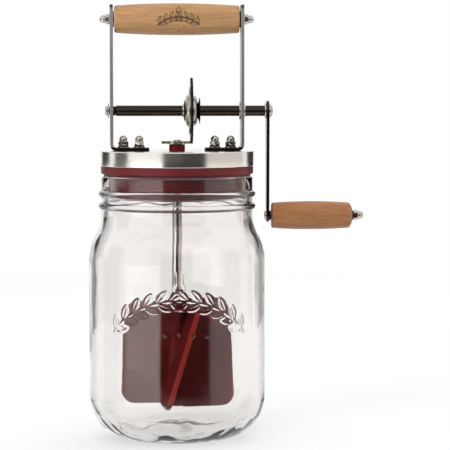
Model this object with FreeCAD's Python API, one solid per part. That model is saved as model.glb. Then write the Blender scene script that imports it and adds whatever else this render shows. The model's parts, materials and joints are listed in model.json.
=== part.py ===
"""A hand-cranked butter churn.

A glass jar holds the cream. Its lid carries two steel straps, a wooden carrying grip and a
crank shaft. A stamped gear on the crank shaft drives a small flat pinion on the vertical shaft,
and that shaft turns a four-bladed paddle inside the jar.

Millimetres, +Z up. The origin is the centre of the jar's flat base, and +X points along the
crank shaft towards the crank arm.
"""
import FreeCAD, Part
import math
import os

Vector = FreeCAD.Vector
X_AXIS, Z_AXIS = Vector(1, 0, 0), Vector(0, 0, 1)

# ---- clearances
running = 0.05          # radial gap between a shaft and the hole it turns in
seated = 0.03           # radial gap round a pin or sleeve that doesn't turn in its hole
end_float = 0.3         # gap along the axis between a turning piece and what keeps it in place

# ---- glass jar
jar_r = 54.0            # outside radius of the body
jar_wall = 3.6
jar_floor = 5.0
jar_height = 160.6      # base to rim
heel_r = 25.8           # outside rounding from the wall into the base
shoulder_z = 107.0      # where the wall starts to draw in
neck_z = 138.0          # where the neck becomes straight
shoulder_split = 0.58   # share of the shoulder's two arcs that the outward-curving one takes
neck_r = 46.3
neck_wall = 3.4
rim_round = 1.0
bead_rise = 1.9         # how far each thread bead stands out of the neck
bead_half_height = 2.1
bead_drops = (10.9, 18.4)   # from the rim down to the middle of each bead

# ---- lid: steel cap over a soft seal
lid_overhang = 0.6      # cap radius beyond the neck
cap_t = 1.2
cap_height = 9.2
cap_edge_round = 1.2
band_height = 4.6       # the seal's band that shows between the cap and the jar
band_inset = 0.3        # band radius inside the cap radius
step_height = 1.4       # narrower ring that sits on the rim
step_inset = 1.3        # ring radius inside the neck radius
plug_gap = 0.5          # between the plug and the jar's bore
plug_wall = 3.0
plug_floor = 3.0
plug_straight = 9.6     # depth of the plug's straight wall below the rim
plug_taper = 5.0        # height of its tapered end
plug_tip_inset = 8.4
spigot_gap = 0.1        # between the seal's top and the inside of the cap

# ---- fasteners, all on the same 3 mm thread
thread_r = 1.5
nut_across_flats = 5.5
nut_hex_height = 2.6
nut_height = 6.2
nut_dome_r = 2.5
nut_bore_depth = 4.8
washer_r, washer_t = 3.6, 0.6
lock_washer_r, lock_washer_t = 3.1, 0.7
lock_washer_teeth = 10
lock_tooth_depth = 0.5
bolt_head_r, bolt_head_t = 2.8, 1.8

# ---- straps
strap_inset = 6.0       # strap's outer face inside the cap radius
strap_t = 2.0
strap_width = 14.0
strap_height = 88.9     # above the cap
strap_bend_r = 4.0      # outside radius of the bend
strap_corner_r = 5.5
foot_reach = 23.9       # strap's outer face to the foot's inner end
bolt_from_outside = (8.1, 17.8)   # strap's outer face to each bolt
grip_drop = 8.7         # strap's top down to the carrying grip's axis

# ---- carrying grip
rod_r = 2.0
grip_mid_r, grip_end_r = 9.7, 8.3
grip_edge_round = 1.0
end_washer_r, end_washer_t = 5.0, 0.55

# ---- gearing
gear_teeth, pinion_teeth = 26, 12
tooth_pitch = 4.66      # along both pitch circles
gear_t = 1.4
pinion_t = 1.6
mesh_overrun = 0.15     # how far each tooth reaches past the other gear's plate
mesh_root_gap = 0.9     # from each root circle to the other gear's plate
gear_tooth_root, gear_tooth_tip = 2.0, 1.3      # tooth widths
pinion_tooth_root, pinion_tooth_tip = 2.2, 1.4

# ---- vertical shaft, its bush and the paddle
spindle_r = 3.0
journal_step = 1.2      # by which the reduced top that carries the pinion is smaller
rivet_head_rise, rivet_head_t = 1.0, 0.8
bush_wall = 0.9
bush_head_rise, bush_head_height = 0.95, 4.1
bush_below = 0.4        # bush's lower end below the plug
clip_rise, clip_t, clip_depth = 1.0, 0.9, 0.5
paddle_r = 34.0
paddle_height = 65.6
paddle_floor_gap = 14.4     # jar's inner floor to the paddle
blade_t = 3.0
blade_pitch = 16.7      # degrees that each blade leans about its own radius
blade_corner_r = 9.0
blade_inner_corner_r = 5.0
blade_count = 4
paddle_turn = 6.0       # degrees by which the paddle stands turned about the jar's axis at rest
hub_wall = 2.6
hub_floor = 3.0
pin_r = 1.0
pin_drop = 6.0          # hub's top to the cross pin

# ---- crank shaft and what is on it
crank_shaft_r = 3.25
end_step = 0.95         # by which the reduced ends are smaller
shaft_head_rise, shaft_head_t = 0.6, 1.6
left_bearing_wall = 0.55
left_bearing_proud = (1.3, 0.2)     # inside and outside the strap
right_bearing_wall = 1.0
right_bearing_proud = 0.8           # outside the strap
right_flange_rise, right_flange_t = 1.1, 1.0
shaft_washer_rise, shaft_washer_t = 2.3, 0.9
backing_r, backing_t = 14.5, 0.9
left_dome_rim_r, left_dome_face_r, left_dome_t = 9.9, 6.1, 2.4
left_flare_r, left_flare_t = 6.1, 0.6
collar_wall, collar_t = 0.72, 1.0
right_dome_rim_r, right_dome_face_r, right_dome_t = 9.5, 7.0, 2.7
right_flare_neck_wall, right_flare_r, right_flare_t = 1.32, 7.9, 1.8
dome_bulge = 0.5        # how far each hub dome stands out of a straight cone

# ---- crank arm and crank grip
crank_outboard = 13.7   # right strap's outer face to the arm
arm_washer_t = 1.0
arm_t = 1.8
arm_top_r, arm_bottom_r = 6.1, 4.0
crank_radius = 64.1
arm_cap_r, arm_cap_t, arm_cap_rim = 4.1, 2.2, 0.5
handle_spindle_r = 2.0
handle_neck_step = 0.4  # by which the spindle is smaller where it goes through the arm
handle_head_rise, handle_head_t = 0.9, 1.2
handle_collar_wall, handle_collar_t = 0.87, 1.2
handle_washer_t = 0.6
crank_grip_length = 49.6
crank_grip_mid_r, crank_grip_end_r = 8.65, 7.75
crank_grip_nose = 1.9   # length of the coned outer end
crank_grip_nose_r = 4.0
crank_grip_edge_round = 0.8

# ---- radii worked out from the sizes above
spindle_journal_r = spindle_r - journal_step
bush_sleeve_r = spindle_r + running + bush_wall
bush_head_r = bush_sleeve_r + bush_head_rise
clip_r = spindle_r + clip_rise
hub_r = spindle_r + hub_wall
journal_r = crank_shaft_r - end_step
left_bearing_r = journal_r + running + left_bearing_wall
right_bearing_r = crank_shaft_r + running + right_bearing_wall
shaft_washer_r = journal_r + shaft_washer_rise
hub_bore_r = crank_shaft_r + seated
handle_neck_r = handle_spindle_r - handle_neck_step
handle_head_r = handle_neck_r + handle_head_rise
handle_collar_r = handle_spindle_r + seated + handle_collar_wall

# ---- places worked out from the sizes above
jar_bore_r = neck_r - neck_wall
lid_r = neck_r + lid_overhang
band_bottom = jar_height + step_height
cap_bottom = band_bottom + band_height
lid_top = cap_bottom + cap_height
cap_under = lid_top - cap_t
plug_r = jar_bore_r - plug_gap
plug_bottom = jar_height - plug_straight - plug_taper

strap_out = lid_r - strap_inset
strap_in = strap_out - strap_t
strap_top = lid_top + strap_height
foot_top = lid_top + strap_t
bolt_xs = tuple(strap_out - d for d in bolt_from_outside)
grip_z = strap_top - grip_drop

gear_pitch_r = gear_teeth * tooth_pitch / (2 * math.pi)
pinion_pitch_r = pinion_teeth * tooth_pitch / (2 * math.pi)
gear_tip_r = gear_pitch_r + pinion_t / 2 + mesh_overrun
gear_root_r = gear_pitch_r - pinion_t / 2 - mesh_root_gap
pinion_tip_r = pinion_pitch_r + gear_t / 2 + mesh_overrun
pinion_root_r = pinion_pitch_r - gear_t / 2 - mesh_root_gap
pinion_bottom = lid_top + bush_head_height + end_float
pinion_top = pinion_bottom + pinion_t
shaft_z = (pinion_bottom + pinion_top) / 2 + gear_pitch_r
gear_left = pinion_pitch_r - gear_t / 2
gear_right = gear_left + gear_t

paddle_bottom = jar_floor + paddle_floor_gap
paddle_top = paddle_bottom + paddle_height
bush_bottom = plug_bottom - bush_below
clip_top = bush_bottom - end_float

left_bearing_in = -strap_in + left_bearing_proud[0]
left_bearing_out = -strap_out - left_bearing_proud[1]
left_washer_in = left_bearing_out - end_float
arm_in = strap_out + crank_outboard
arm_out = arm_in + arm_t
handle_z = shaft_z - crank_radius
crank_grip_in = arm_out + handle_collar_t + end_float
crank_grip_out = crank_grip_in + crank_grip_length
handle_washer_in = crank_grip_out + end_float


# ---- building blocks
def edges_through(start, *steps):
    """Edges through 2-D points. A step is a point, or a pair of points: an arc's middle and end."""
    here, edges = start, []
    for step in steps:
        if isinstance(step[0], tuple):
            middle, step = step
            edges.append(Part.Arc(flat(here), flat(middle), flat(step)).toShape())
        else:
            edges.append(Part.makeLine(flat(here), flat(step)))
        here = step
    edges.append(Part.makeLine(flat(here), flat(start)))
    return edges


def flat(point):
    """A 2-D point on the X-Z plane."""
    return Vector(point[0], 0, point[1])


def turned_z(start, *steps):
    """A solid of revolution about Z from an outline of (radius, height) points."""
    face = Part.Face(Part.Wire(edges_through(start, *steps)))
    return face.revolve(Vector(0, 0, 0), Z_AXIS, 360)


def turned_x(height, start, *steps):
    """A solid of revolution about X from (x, radius) points, with its axis at the given height."""
    face = Part.Face(Part.Wire(edges_through(start, *steps)))
    solid = face.revolve(Vector(0, 0, 0), X_AXIS, 360)
    solid.translate(Vector(0, 0, height))
    return solid


def ring_z(outer_r, inner_r, low, high):
    """A plain washer or sleeve about Z."""
    return turned_z((inner_r, low), (outer_r, low), (outer_r, high), (inner_r, high))


def ring_x(height, outer_r, inner_r, left, right):
    """A plain washer or sleeve about an X axis at the given height."""
    return turned_x(height, (left, inner_r), (right, inner_r), (right, outer_r), (left, outer_r))


def peg_z(radius, low, high, x=0.0):
    """A round bar or hole cutter along Z."""
    return Part.makeCylinder(radius, high - low, Vector(x, 0, low), Z_AXIS)


def peg_x(radius, left, right, height):
    """A round bar or hole cutter along X."""
    return Part.makeCylinder(radius, right - left, Vector(left, 0, height), X_AXIS)


def shoulder_arcs(low_r, low_z, high_r, high_z):
    """Two tangent arcs that lead from one vertical wall in to a narrower one above it."""
    drop, rise = low_r - high_r, high_z - low_z
    turn = 2 * math.atan2(drop, rise)
    both = rise / math.sin(turn)
    first, second = both * shoulder_split, both * (1 - shoulder_split)

    def on_first(angle):
        return low_r - first + first * math.cos(angle), low_z + first * math.sin(angle)

    def on_second(angle):
        return high_r + second - second * math.cos(angle), high_z - second * math.sin(angle)

    return (on_first(turn / 2), on_first(turn)), (on_second(turn / 2), (high_r, high_z))


def quarter(centre, radius, start_deg):
    """Middle and end of a quarter turn anticlockwise about a centre, from the angle given."""
    points = []
    for angle in (start_deg + 45, start_deg + 90):
        turn = math.radians(angle)
        points.append((centre[0] + radius * math.cos(turn), centre[1] + radius * math.sin(turn)))
    return tuple(points)


def cap_middle(apex, base, radius):
    """Middle of the arc, centred on the axis, from an apex on the axis to a radius at the base."""
    height, sign = abs(base - apex), math.copysign(1, base - apex)
    sphere_r = (height ** 2 + radius ** 2) / (2 * height)
    half = math.atan2(radius, sphere_r - height) / 2
    return apex + sign * sphere_r * (1 - math.cos(half)), sphere_r * math.sin(half)


def toothed_plate(teeth, root_r, tip_r, root_width, tip_width, thickness, first_deg):
    """A flat gear about Z with its underside at height 0 and a tooth centred at first_deg."""
    edges, step = [], 2 * math.pi / teeth
    root_half = math.asin(root_width / 2 / root_r)
    tip_half = math.asin(tip_width / 2 / tip_r)

    def at(radius, angle):
        return Vector(radius * math.cos(angle), radius * math.sin(angle), 0)

    for i in range(teeth):
        centre = math.radians(first_deg) + i * step
        gap_end = centre + step - root_half
        edges.append(Part.makeLine(at(root_r, centre - root_half), at(tip_r, centre - tip_half)))
        edges.append(Part.Arc(at(tip_r, centre - tip_half), at(tip_r, centre),
                              at(tip_r, centre + tip_half)).toShape())
        edges.append(Part.makeLine(at(tip_r, centre + tip_half), at(root_r, centre + root_half)))
        edges.append(Part.Arc(at(root_r, centre + root_half), at(root_r, centre + step / 2),
                              at(root_r, gap_end)).toShape())
    return Part.Face(Part.Wire(edges)).extrude(Vector(0, 0, thickness))


def acorn_nut():
    """A domed nut standing on height 0, with its axis on Z and a blind bore from below."""
    corner_r = nut_across_flats / math.sqrt(3)
    corners = [Vector(corner_r * math.cos(math.radians(60 * i)),
                      corner_r * math.sin(math.radians(60 * i)), 0) for i in range(7)]
    hexagon = Part.Face(Part.makePolygon(corners)).extrude(Vector(0, 0, nut_hex_height))
    straight = nut_height - nut_dome_r
    dome = turned_z((0, 0), (nut_dome_r, 0), (nut_dome_r, straight),
                    quarter((0, straight), nut_dome_r, 0))
    return hexagon.fuse(dome).cut(peg_z(thread_r + seated, -1, nut_bore_depth))


def moved(shape, x=0.0, z=0.0):
    """A copy of a shape, moved along X and Z."""
    copy = shape.copy()
    copy.translate(Vector(x, 0, z))
    return copy


def laid_along_x(shape, x, height, sign):
    """A copy of a shape made about Z, turned to point along +X or -X from x."""
    copy = shape.copy()
    copy.rotate(Vector(0, 0, 0), Vector(0, 1, 0), 90 * sign)
    copy.translate(Vector(x, 0, height))
    return copy


def at_feet(shape, height):
    """Copies of a shape at the four foot bolts."""
    return Part.makeCompound([moved(shape, sign * x, height) for sign in (-1, 1) for x in bolt_xs])


# ---- jar
def glass_jar():
    """A straight jar with a rounded heel, a drawn-in shoulder and a beaded screw neck."""
    base_flat_r = jar_r - heel_r
    outline = [(base_flat_r, 0), quarter((base_flat_r, heel_r), heel_r, -90), (jar_r, shoulder_z)]
    outline += shoulder_arcs(jar_r, shoulder_z, neck_r, neck_z)
    for drop in sorted(bead_drops, reverse=True):
        middle = jar_height - drop
        outline.append((neck_r, middle - bead_half_height))
        outline.append(((neck_r + bead_rise, middle), (neck_r, middle + bead_half_height)))
    outline.append((neck_r, jar_height - rim_round))
    outline.append(quarter((neck_r - rim_round, jar_height - rim_round), rim_round, 0))
    outline.append((0, jar_height))
    outside = turned_z((0, 0), *outline)

    inner_r, inner_heel = jar_r - jar_wall, heel_r - jar_floor
    heel_centre = (inner_r - inner_heel, jar_floor + inner_heel)
    above = jar_height + 1
    hollow = [(heel_centre[0], jar_floor), quarter(heel_centre, inner_heel, -90)]
    hollow.append((inner_r, shoulder_z))
    hollow += shoulder_arcs(inner_r, shoulder_z, jar_bore_r, neck_z)
    hollow += [(jar_bore_r, above), (0, above)]
    return outside.cut(turned_z((0, jar_floor), *hollow))


# ---- lid
def lid_cap():
    """A pressed steel cap with holes for the bush and the four foot bolts."""
    inner_r = lid_r - cap_t
    edge_centre = (lid_r - cap_edge_round, lid_top - cap_edge_round)
    cap = turned_z((inner_r, cap_bottom), (lid_r, cap_bottom), (lid_r, edge_centre[1]),
                   quarter(edge_centre, cap_edge_round, 0), (0, lid_top), (0, cap_under),
                   (inner_r, cap_under))
    cap = cap.cut(peg_z(bush_sleeve_r + seated, cap_under - 1, lid_top + 1))
    for x in bolt_xs:
        for sign in (-1, 1):
            cap = cap.cut(peg_z(thread_r + seated, cap_under - 1, lid_top + 1, sign * x))
    return cap


def lid_seal():
    """The soft seal: a band under the cap, a ring on the rim and a hollow plug in the neck."""
    band_r, step_r, spigot_r = lid_r - band_inset, neck_r - step_inset, lid_r - cap_t - spigot_gap
    tip_r, taper_top = plug_r - plug_tip_inset, plug_bottom + plug_taper
    spigot_top = cap_under - spigot_gap
    outside = turned_z((0, plug_bottom), (tip_r, plug_bottom), (plug_r, taper_top),
                       (plug_r, jar_height), (step_r, jar_height), (step_r, band_bottom),
                       (band_r, band_bottom), (band_r, cap_bottom), (spigot_r, cap_bottom),
                       (spigot_r, spigot_top), (0, spigot_top))
    hollow_floor = plug_bottom + plug_floor
    hollow = turned_z((0, hollow_floor), (tip_r - plug_wall / 2, hollow_floor),
                      (plug_r - plug_wall, taper_top + plug_wall / 2),
                      (plug_r - plug_wall, spigot_top + 1), (0, spigot_top + 1))
    sleeve_hole = peg_z(bush_sleeve_r + seated, plug_bottom - 1, hollow_floor + 1)
    return outside.cut(hollow).cut(sleeve_hole)


def shaft_bush():
    """A headed sleeve through the cap and the plug, in which the vertical shaft turns."""
    bore_r, head_top = spindle_r + running, lid_top + bush_head_height
    return turned_z((bore_r, bush_bottom), (bush_sleeve_r, bush_bottom), (bush_sleeve_r, lid_top),
                    (bush_head_r, lid_top), (bush_head_r, head_top), (bore_r, head_top))


# ---- straps and their fasteners
def strap(sign, bearing_r):
    """One L-shaped strap: sign is -1 for the left and 1 for the right."""
    leg_bend = (strap_out - strap_bend_r, lid_top + strap_bend_r)
    inside_bend_r = strap_bend_r - strap_t
    foot_end = strap_out - foot_reach
    inside = quarter(leg_bend, inside_bend_r, -90)
    profile = edges_through(
        (foot_end, lid_top), (leg_bend[0], lid_top), quarter(leg_bend, strap_bend_r, -90),
        (strap_out, strap_top), (strap_in, strap_top), inside[1],
        (inside[0], (leg_bend[0], foot_top)), (foot_end, foot_top))
    solid = Part.Face(Part.Wire(profile)).extrude(Vector(0, strap_width, 0))
    solid.translate(Vector(0, -strap_width / 2, 0))
    corners = [e for e in solid.Edges if is_strap_corner(e, foot_end)]
    solid = solid.makeFillet(strap_corner_r, corners)
    if sign < 0:
        solid = solid.mirror(Vector(0, 0, 0), X_AXIS)
    low, high = sorted((sign * (strap_in - 1), sign * (strap_out + 1)))
    solid = solid.cut(peg_x(thread_r + seated, low, high, grip_z))
    solid = solid.cut(peg_x(bearing_r + seated, low, high, shaft_z))
    for x in bolt_xs:
        solid = solid.cut(peg_z(thread_r + seated, lid_top - 1, foot_top + 1, sign * x))
    return solid


def is_strap_corner(edge, foot_end):
    """True for the four short edges at the strap's two free ends."""
    box = edge.BoundBox
    at_top = box.ZMin > strap_top - 0.01 and abs(box.XLength - strap_t) < 0.01
    at_foot = box.XMax < foot_end + 0.01 and abs(box.ZLength - strap_t) < 0.01
    return at_top or at_foot


def foot_bolt():
    """A bolt from below: its head is under the cap and its end is inside the nut."""
    head_bottom = cap_under - bolt_head_t
    end = foot_top + washer_t + lock_washer_t + nut_bore_depth - end_float
    return peg_z(bolt_head_r, head_bottom, cap_under).fuse(peg_z(thread_r, cap_under - 1, end))


def lock_washer():
    """A toothed lock washer on height 0."""
    plate = toothed_plate(lock_washer_teeth, lock_washer_r - lock_tooth_depth, lock_washer_r,
                          1.2, 0.7, lock_washer_t, 0)
    return plate.cut(peg_z(thread_r + seated, -1, lock_washer_t + 1))


# ---- carrying grip
def barrel(left, right, mid_r, end_r, bore_r, height):
    """A wooden barrel grip along X with rounded edges and a bore."""
    middle, edge = (left + right) / 2, grip_edge_round
    return turned_x(height, (left, bore_r), (left, end_r - edge), (left + edge, end_r),
                    ((middle, mid_r), (right - edge, end_r)), (right, end_r - edge),
                    (right, bore_r))


def grip_rod():
    """A shouldered rod that spaces the straps apart and carries the grip."""
    end = strap_out + nut_bore_depth - end_float
    return turned_x(grip_z, (-end, 0), (-end, thread_r), (-strap_in, thread_r),
                    (-strap_in, rod_r), (strap_in, rod_r), (strap_in, thread_r),
                    (end, thread_r), (end, 0))


def both_ends(make):
    """Two copies of a piece, at the left and the right strap."""
    return Part.makeCompound([make(-1), make(1)])


def end_washer(sign):
    """The thin washer between the grip and one strap."""
    left, right = sorted((sign * strap_in, sign * (strap_in - end_washer_t)))
    return ring_x(grip_z, end_washer_r, rod_r + seated, left, right)


def rod_nut(sign):
    """The acorn nut outside one strap."""
    return laid_along_x(acorn_nut(), sign * strap_out, grip_z, sign)


# ---- crank shaft and its hub
def crank_shaft():
    """The shaft, with reduced ends and a riveted head at the left."""
    head_in = left_washer_in - shaft_washer_t
    head_end = head_in - shaft_head_t
    head_r = journal_r + shaft_head_rise
    dome = (cap_middle(head_end, head_in, head_r), (head_in, head_r))
    shoulder = left_bearing_in + end_float
    right_shoulder = arm_in - arm_washer_t
    end = arm_out + arm_cap_t / 3
    return turned_x(shaft_z, (head_end, 0), dome, (head_in, journal_r), (shoulder, journal_r),
                    (shoulder, crank_shaft_r), (right_shoulder, crank_shaft_r),
                    (right_shoulder, journal_r), (end, journal_r), (end, 0))


def right_bearing():
    """A flanged bush in the right strap."""
    bore_r, flange_r = crank_shaft_r + running, right_bearing_r + right_flange_rise
    flange_in, outer_end = strap_in - right_flange_t, strap_out + right_bearing_proud
    return turned_x(shaft_z, (flange_in, bore_r), (flange_in, flange_r),
                    (strap_in, flange_r), (strap_in, right_bearing_r),
                    (outer_end, right_bearing_r), (outer_end, bore_r))


def drive_gear():
    """The large stamped gear, with a tooth at the bottom in a gap of the pinion."""
    plate = toothed_plate(gear_teeth, gear_root_r, gear_tip_r, gear_tooth_root, gear_tooth_tip,
                          gear_t, 0)
    plate = plate.cut(peg_z(hub_bore_r, -1, gear_t + 1))
    return laid_along_x(plate, gear_left, shaft_z, 1)


def hub_dome(left, right, left_r, right_r):
    """A domed disc on the shaft, between two faces of different radius."""
    bulge = (((left + right) / 2, (left_r + right_r) / 2 + dome_bulge), (right, right_r))
    return turned_x(shaft_z, (left, hub_bore_r), (left, left_r), bulge, (right, hub_bore_r))


def pinion_gear():
    """The small flat gear, with a gap between two teeth towards +X."""
    plate = toothed_plate(pinion_teeth, pinion_root_r, pinion_tip_r, pinion_tooth_root,
                          pinion_tooth_tip, pinion_t, 180 / pinion_teeth)
    plate = plate.cut(peg_z(spindle_journal_r + seated, -1, pinion_t + 1))
    return moved(plate, z=pinion_bottom)


# ---- crank arm and crank grip
def crank_arm():
    """A flat arm whose rounded ends are joined by tangent edges."""
    lean = math.asin((arm_top_r - arm_bottom_r) / crank_radius)

    def on_end(centre_z, radius, angle):
        return Vector(arm_in, radius * math.cos(angle), centre_z + radius * math.sin(angle))

    top_right = on_end(shaft_z, arm_top_r, lean)
    top_left = on_end(shaft_z, arm_top_r, math.pi - lean)
    low_left = on_end(handle_z, arm_bottom_r, math.pi - lean)
    low_right = on_end(handle_z, arm_bottom_r, lean)
    top = on_end(shaft_z, arm_top_r, math.pi / 2)
    bottom = on_end(handle_z, arm_bottom_r, -math.pi / 2)
    edges = [Part.Arc(top_right, top, top_left).toShape(), Part.makeLine(top_left, low_left),
             Part.Arc(low_left, bottom, low_right).toShape(), Part.makeLine(low_right, top_right)]
    plate = Part.Face(Part.Wire(edges)).extrude(Vector(arm_t, 0, 0))
    plate = plate.cut(peg_x(journal_r + seated, arm_in - 1, arm_out + 1, shaft_z))
    return plate.cut(peg_x(handle_neck_r + seated, arm_in - 1, arm_out + 1, handle_z))


def arm_cap():
    """The domed cap pressed on the shaft's end outside the arm."""
    rim_end, end = arm_out + arm_cap_rim, arm_out + arm_cap_t
    dome = (cap_middle(end, rim_end, arm_cap_r), (end, 0))
    solid = turned_x(shaft_z, (arm_out, 0), (arm_out, arm_cap_r), (rim_end, arm_cap_r), dome)
    return solid.cut(peg_x(journal_r + seated, arm_out - 1, arm_out + arm_cap_t / 2, shaft_z))


def crank_spindle():
    """The spindle riveted into the arm, on which the crank grip turns."""
    head_left = arm_in - handle_head_t
    end = handle_washer_in + handle_washer_t + nut_bore_depth - end_float
    return turned_x(handle_z, (head_left, 0), (head_left, handle_head_r - 0.3),
                    (head_left + 0.3, handle_head_r), (arm_in, handle_head_r),
                    (arm_in, handle_neck_r), (arm_out, handle_neck_r),
                    (arm_out, handle_spindle_r), (handle_washer_in, handle_spindle_r),
                    (handle_washer_in, thread_r), (end, thread_r), (end, 0))


def crank_grip():
    """The wooden crank grip: a barrel with a coned outer end."""
    bore_r, edge = handle_spindle_r + running, crank_grip_edge_round
    shoulder = crank_grip_out - crank_grip_nose
    middle = (crank_grip_in + shoulder) / 2
    barrel_side = ((middle, crank_grip_mid_r), (shoulder, crank_grip_end_r))
    return turned_x(handle_z, (crank_grip_in, bore_r), (crank_grip_in, crank_grip_end_r - edge),
                    (crank_grip_in + edge, crank_grip_end_r), barrel_side,
                    (crank_grip_out, crank_grip_nose_r), (crank_grip_out, bore_r))


# ---- vertical shaft and paddle
def paddle_shaft():
    """The vertical shaft: a reduced top with a riveted head, a clip groove and a cross hole."""
    bottom, head_top = paddle_bottom + hub_floor + end_float, pinion_top + rivet_head_t
    groove_r, groove_low = spindle_r - clip_depth, clip_top - clip_t
    rivet_r = spindle_journal_r + rivet_head_rise
    shaft = turned_z((0, bottom), (spindle_r, bottom), (spindle_r, groove_low),
                     (groove_r, groove_low), (groove_r, clip_top), (spindle_r, clip_top),
                     (spindle_r, pinion_bottom), (spindle_journal_r, pinion_bottom),
                     (spindle_journal_r, pinion_top), (rivet_r, pinion_top),
                     (rivet_r - rivet_head_t, head_top), (0, head_top))
    return shaft.cut(peg_x(pin_r + seated, -hub_r, hub_r, paddle_top - pin_drop))


def shaft_clip():
    """An open ring in the shaft's groove, under the bush."""
    inner_r = spindle_r - clip_depth + seated
    ring = ring_z(clip_r, inner_r, clip_top - clip_t, clip_top)
    mouth = Part.makeBox(clip_r + 1, 2 * inner_r, 3 * clip_t, Vector(0, -inner_r, clip_top - 2 * clip_t))
    return ring.cut(mouth)


def blade():
    """One blade towards +X, leaning about its own radius, with its middle at height 0."""
    lean = math.radians(blade_pitch)
    half = (paddle_height - blade_t * math.sin(lean)) / math.cos(lean) / 2
    inner, outer, corner, inner_corner = -blade_t / 2, paddle_r, blade_corner_r, blade_inner_corner_r
    outline = edges_through(
        (inner + inner_corner, -half), (outer - corner, -half),
        quarter((outer - corner, -half + corner), corner, -90), (outer, half - corner),
        quarter((outer - corner, half - corner), corner, 0), (inner + inner_corner, half),
        quarter((inner + inner_corner, half - inner_corner), inner_corner, 90),
        (inner, -half + inner_corner),
        quarter((inner + inner_corner, -half + inner_corner), inner_corner, 180))
    plate = Part.Face(Part.Wire(outline[:-1])).extrude(Vector(0, blade_t, 0))
    plate.translate(Vector(0, -blade_t / 2, 0))
    plate.rotate(Vector(0, 0, 0), X_AXIS, -blade_pitch)
    return plate


def paddle():
    """Four leaning blades on a hub with a blind bore for the shaft."""
    solid, one = peg_z(hub_r, paddle_bottom, paddle_top), blade()
    one.translate(Vector(0, 0, (paddle_bottom + paddle_top) / 2))
    for i in range(blade_count):
        turned = one.copy()
        turned.rotate(Vector(0, 0, 0), Z_AXIS, 360 / blade_count * i)
        solid = solid.fuse(turned)
    solid = solid.cut(peg_z(spindle_r + seated, paddle_bottom + hub_floor, paddle_top + 1))
    return solid.cut(peg_x(pin_r + seated, -hub_r - 1, hub_r + 1, paddle_top - pin_drop))


def at_rest_turn(shape):
    """The shape turned about the jar's axis to where the paddle stands at rest."""
    shape.rotate(Vector(0, 0, 0), Z_AXIS, paddle_turn)
    return shape


backing_left = gear_left - backing_t
left_dome_left = backing_left - left_dome_t
flare_left = left_dome_left - left_flare_t
right_dome_right = gear_right + right_dome_t
stack_top = foot_top + washer_t
nut_seat = stack_top + lock_washer_t

pieces = {
    "glass_jar": glass_jar(),
    "lid_cap": lid_cap(),
    "lid_seal": lid_seal(),
    "shaft_bush": shaft_bush(),
    "left_strap": strap(-1, left_bearing_r),
    "right_strap": strap(1, right_bearing_r),
    "foot_bolts": at_feet(foot_bolt(), 0),
    "foot_washers": at_feet(ring_z(washer_r, thread_r + seated, 0, washer_t), foot_top),
    "foot_lock_washers": at_feet(lock_washer(), stack_top),
    "foot_acorn_nuts": at_feet(acorn_nut(), nut_seat),
    "left_bearing": ring_x(shaft_z, left_bearing_r, journal_r + running, left_bearing_out,
                           left_bearing_in),
    "right_bearing": right_bearing(),
    "grip_rod": grip_rod(),
    "grip_end_washers": both_ends(end_washer),
    "grip_acorn_nuts": both_ends(rod_nut),
    "carry_grip": barrel(-strap_in + end_washer_t + end_float, strap_in - end_washer_t - end_float,
                         grip_mid_r, grip_end_r, rod_r + running, grip_z),
    "crank_shaft": crank_shaft(),
    "shaft_end_washer": ring_x(shaft_z, shaft_washer_r, journal_r + seated,
                               left_washer_in - shaft_washer_t, left_washer_in),
    "drive_gear": drive_gear(),
    "gear_backing_disc": ring_x(shaft_z, backing_r, hub_bore_r, backing_left, gear_left),
    "left_hub_dome": hub_dome(left_dome_left, backing_left, left_dome_face_r, left_dome_rim_r),
    "left_hub_flange": ring_x(shaft_z, left_flare_r, hub_bore_r, flare_left, left_dome_left),
    "hub_collar": ring_x(shaft_z, hub_bore_r + collar_wall, hub_bore_r, flare_left - collar_t, flare_left),
    "right_hub_dome": hub_dome(gear_right, right_dome_right, right_dome_rim_r, right_dome_face_r),
    "right_hub_flange": turned_x(shaft_z, (right_dome_right, hub_bore_r),
                                 (right_dome_right, hub_bore_r + right_flare_neck_wall),
                                 (right_dome_right + right_flare_t, right_flare_r),
                                 (right_dome_right + right_flare_t, hub_bore_r)),
    "arm_washer": ring_x(shaft_z, shaft_washer_r, journal_r + seated, arm_in - arm_washer_t, arm_in),
    "crank_arm": crank_arm(),
    "arm_cap": arm_cap(),
    "crank_spindle": crank_spindle(),
    "spindle_collar": ring_x(handle_z, handle_collar_r, handle_spindle_r + seated, arm_out,
                             arm_out + handle_collar_t),
    "crank_grip": crank_grip(),
    "crank_end_washer": ring_x(handle_z, handle_collar_r, thread_r + seated, handle_washer_in,
                               handle_washer_in + handle_washer_t),
    "crank_acorn_nut": laid_along_x(acorn_nut(), handle_washer_in + handle_washer_t, handle_z, 1),
    "pinion_gear": pinion_gear(),
    "paddle_shaft": at_rest_turn(paddle_shaft()),
    "shaft_clip": shaft_clip(),
    "paddle": at_rest_turn(paddle()),
    "paddle_pin": at_rest_turn(peg_x(pin_r, -hub_r, hub_r, paddle_top - pin_drop)),
}

os.makedirs("parts", exist_ok=True)
for name, shape in pieces.items():
    if not shape.isValid() or not all(s.isClosed() for s in shape.Shells):
        raise ValueError(f"{name} isn't a valid closed solid")
    shape.exportStep(f"parts/{name}.step")
    print(f"{name}: {len(shape.Solids)} solid(s), {shape.Volume / 1000:.2f} cm3")
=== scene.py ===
# %% [markdown]
# # A hand-cranked butter churn
#
# The churn is a glass jar with a lift-off lid. A crank on the lid turns a large flat gear, that gear
# turns a small one on an upright shaft, and the shaft turns a four-bladed paddle in the cream. The
# engineering model comes first and fixes every place and size. This lesson models each visible piece
# again, with soft edges and real finishes, at exactly the same places.

# %% Load the engineering model
import json
import math

import bmesh
import bpy
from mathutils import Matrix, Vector, noise


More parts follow.
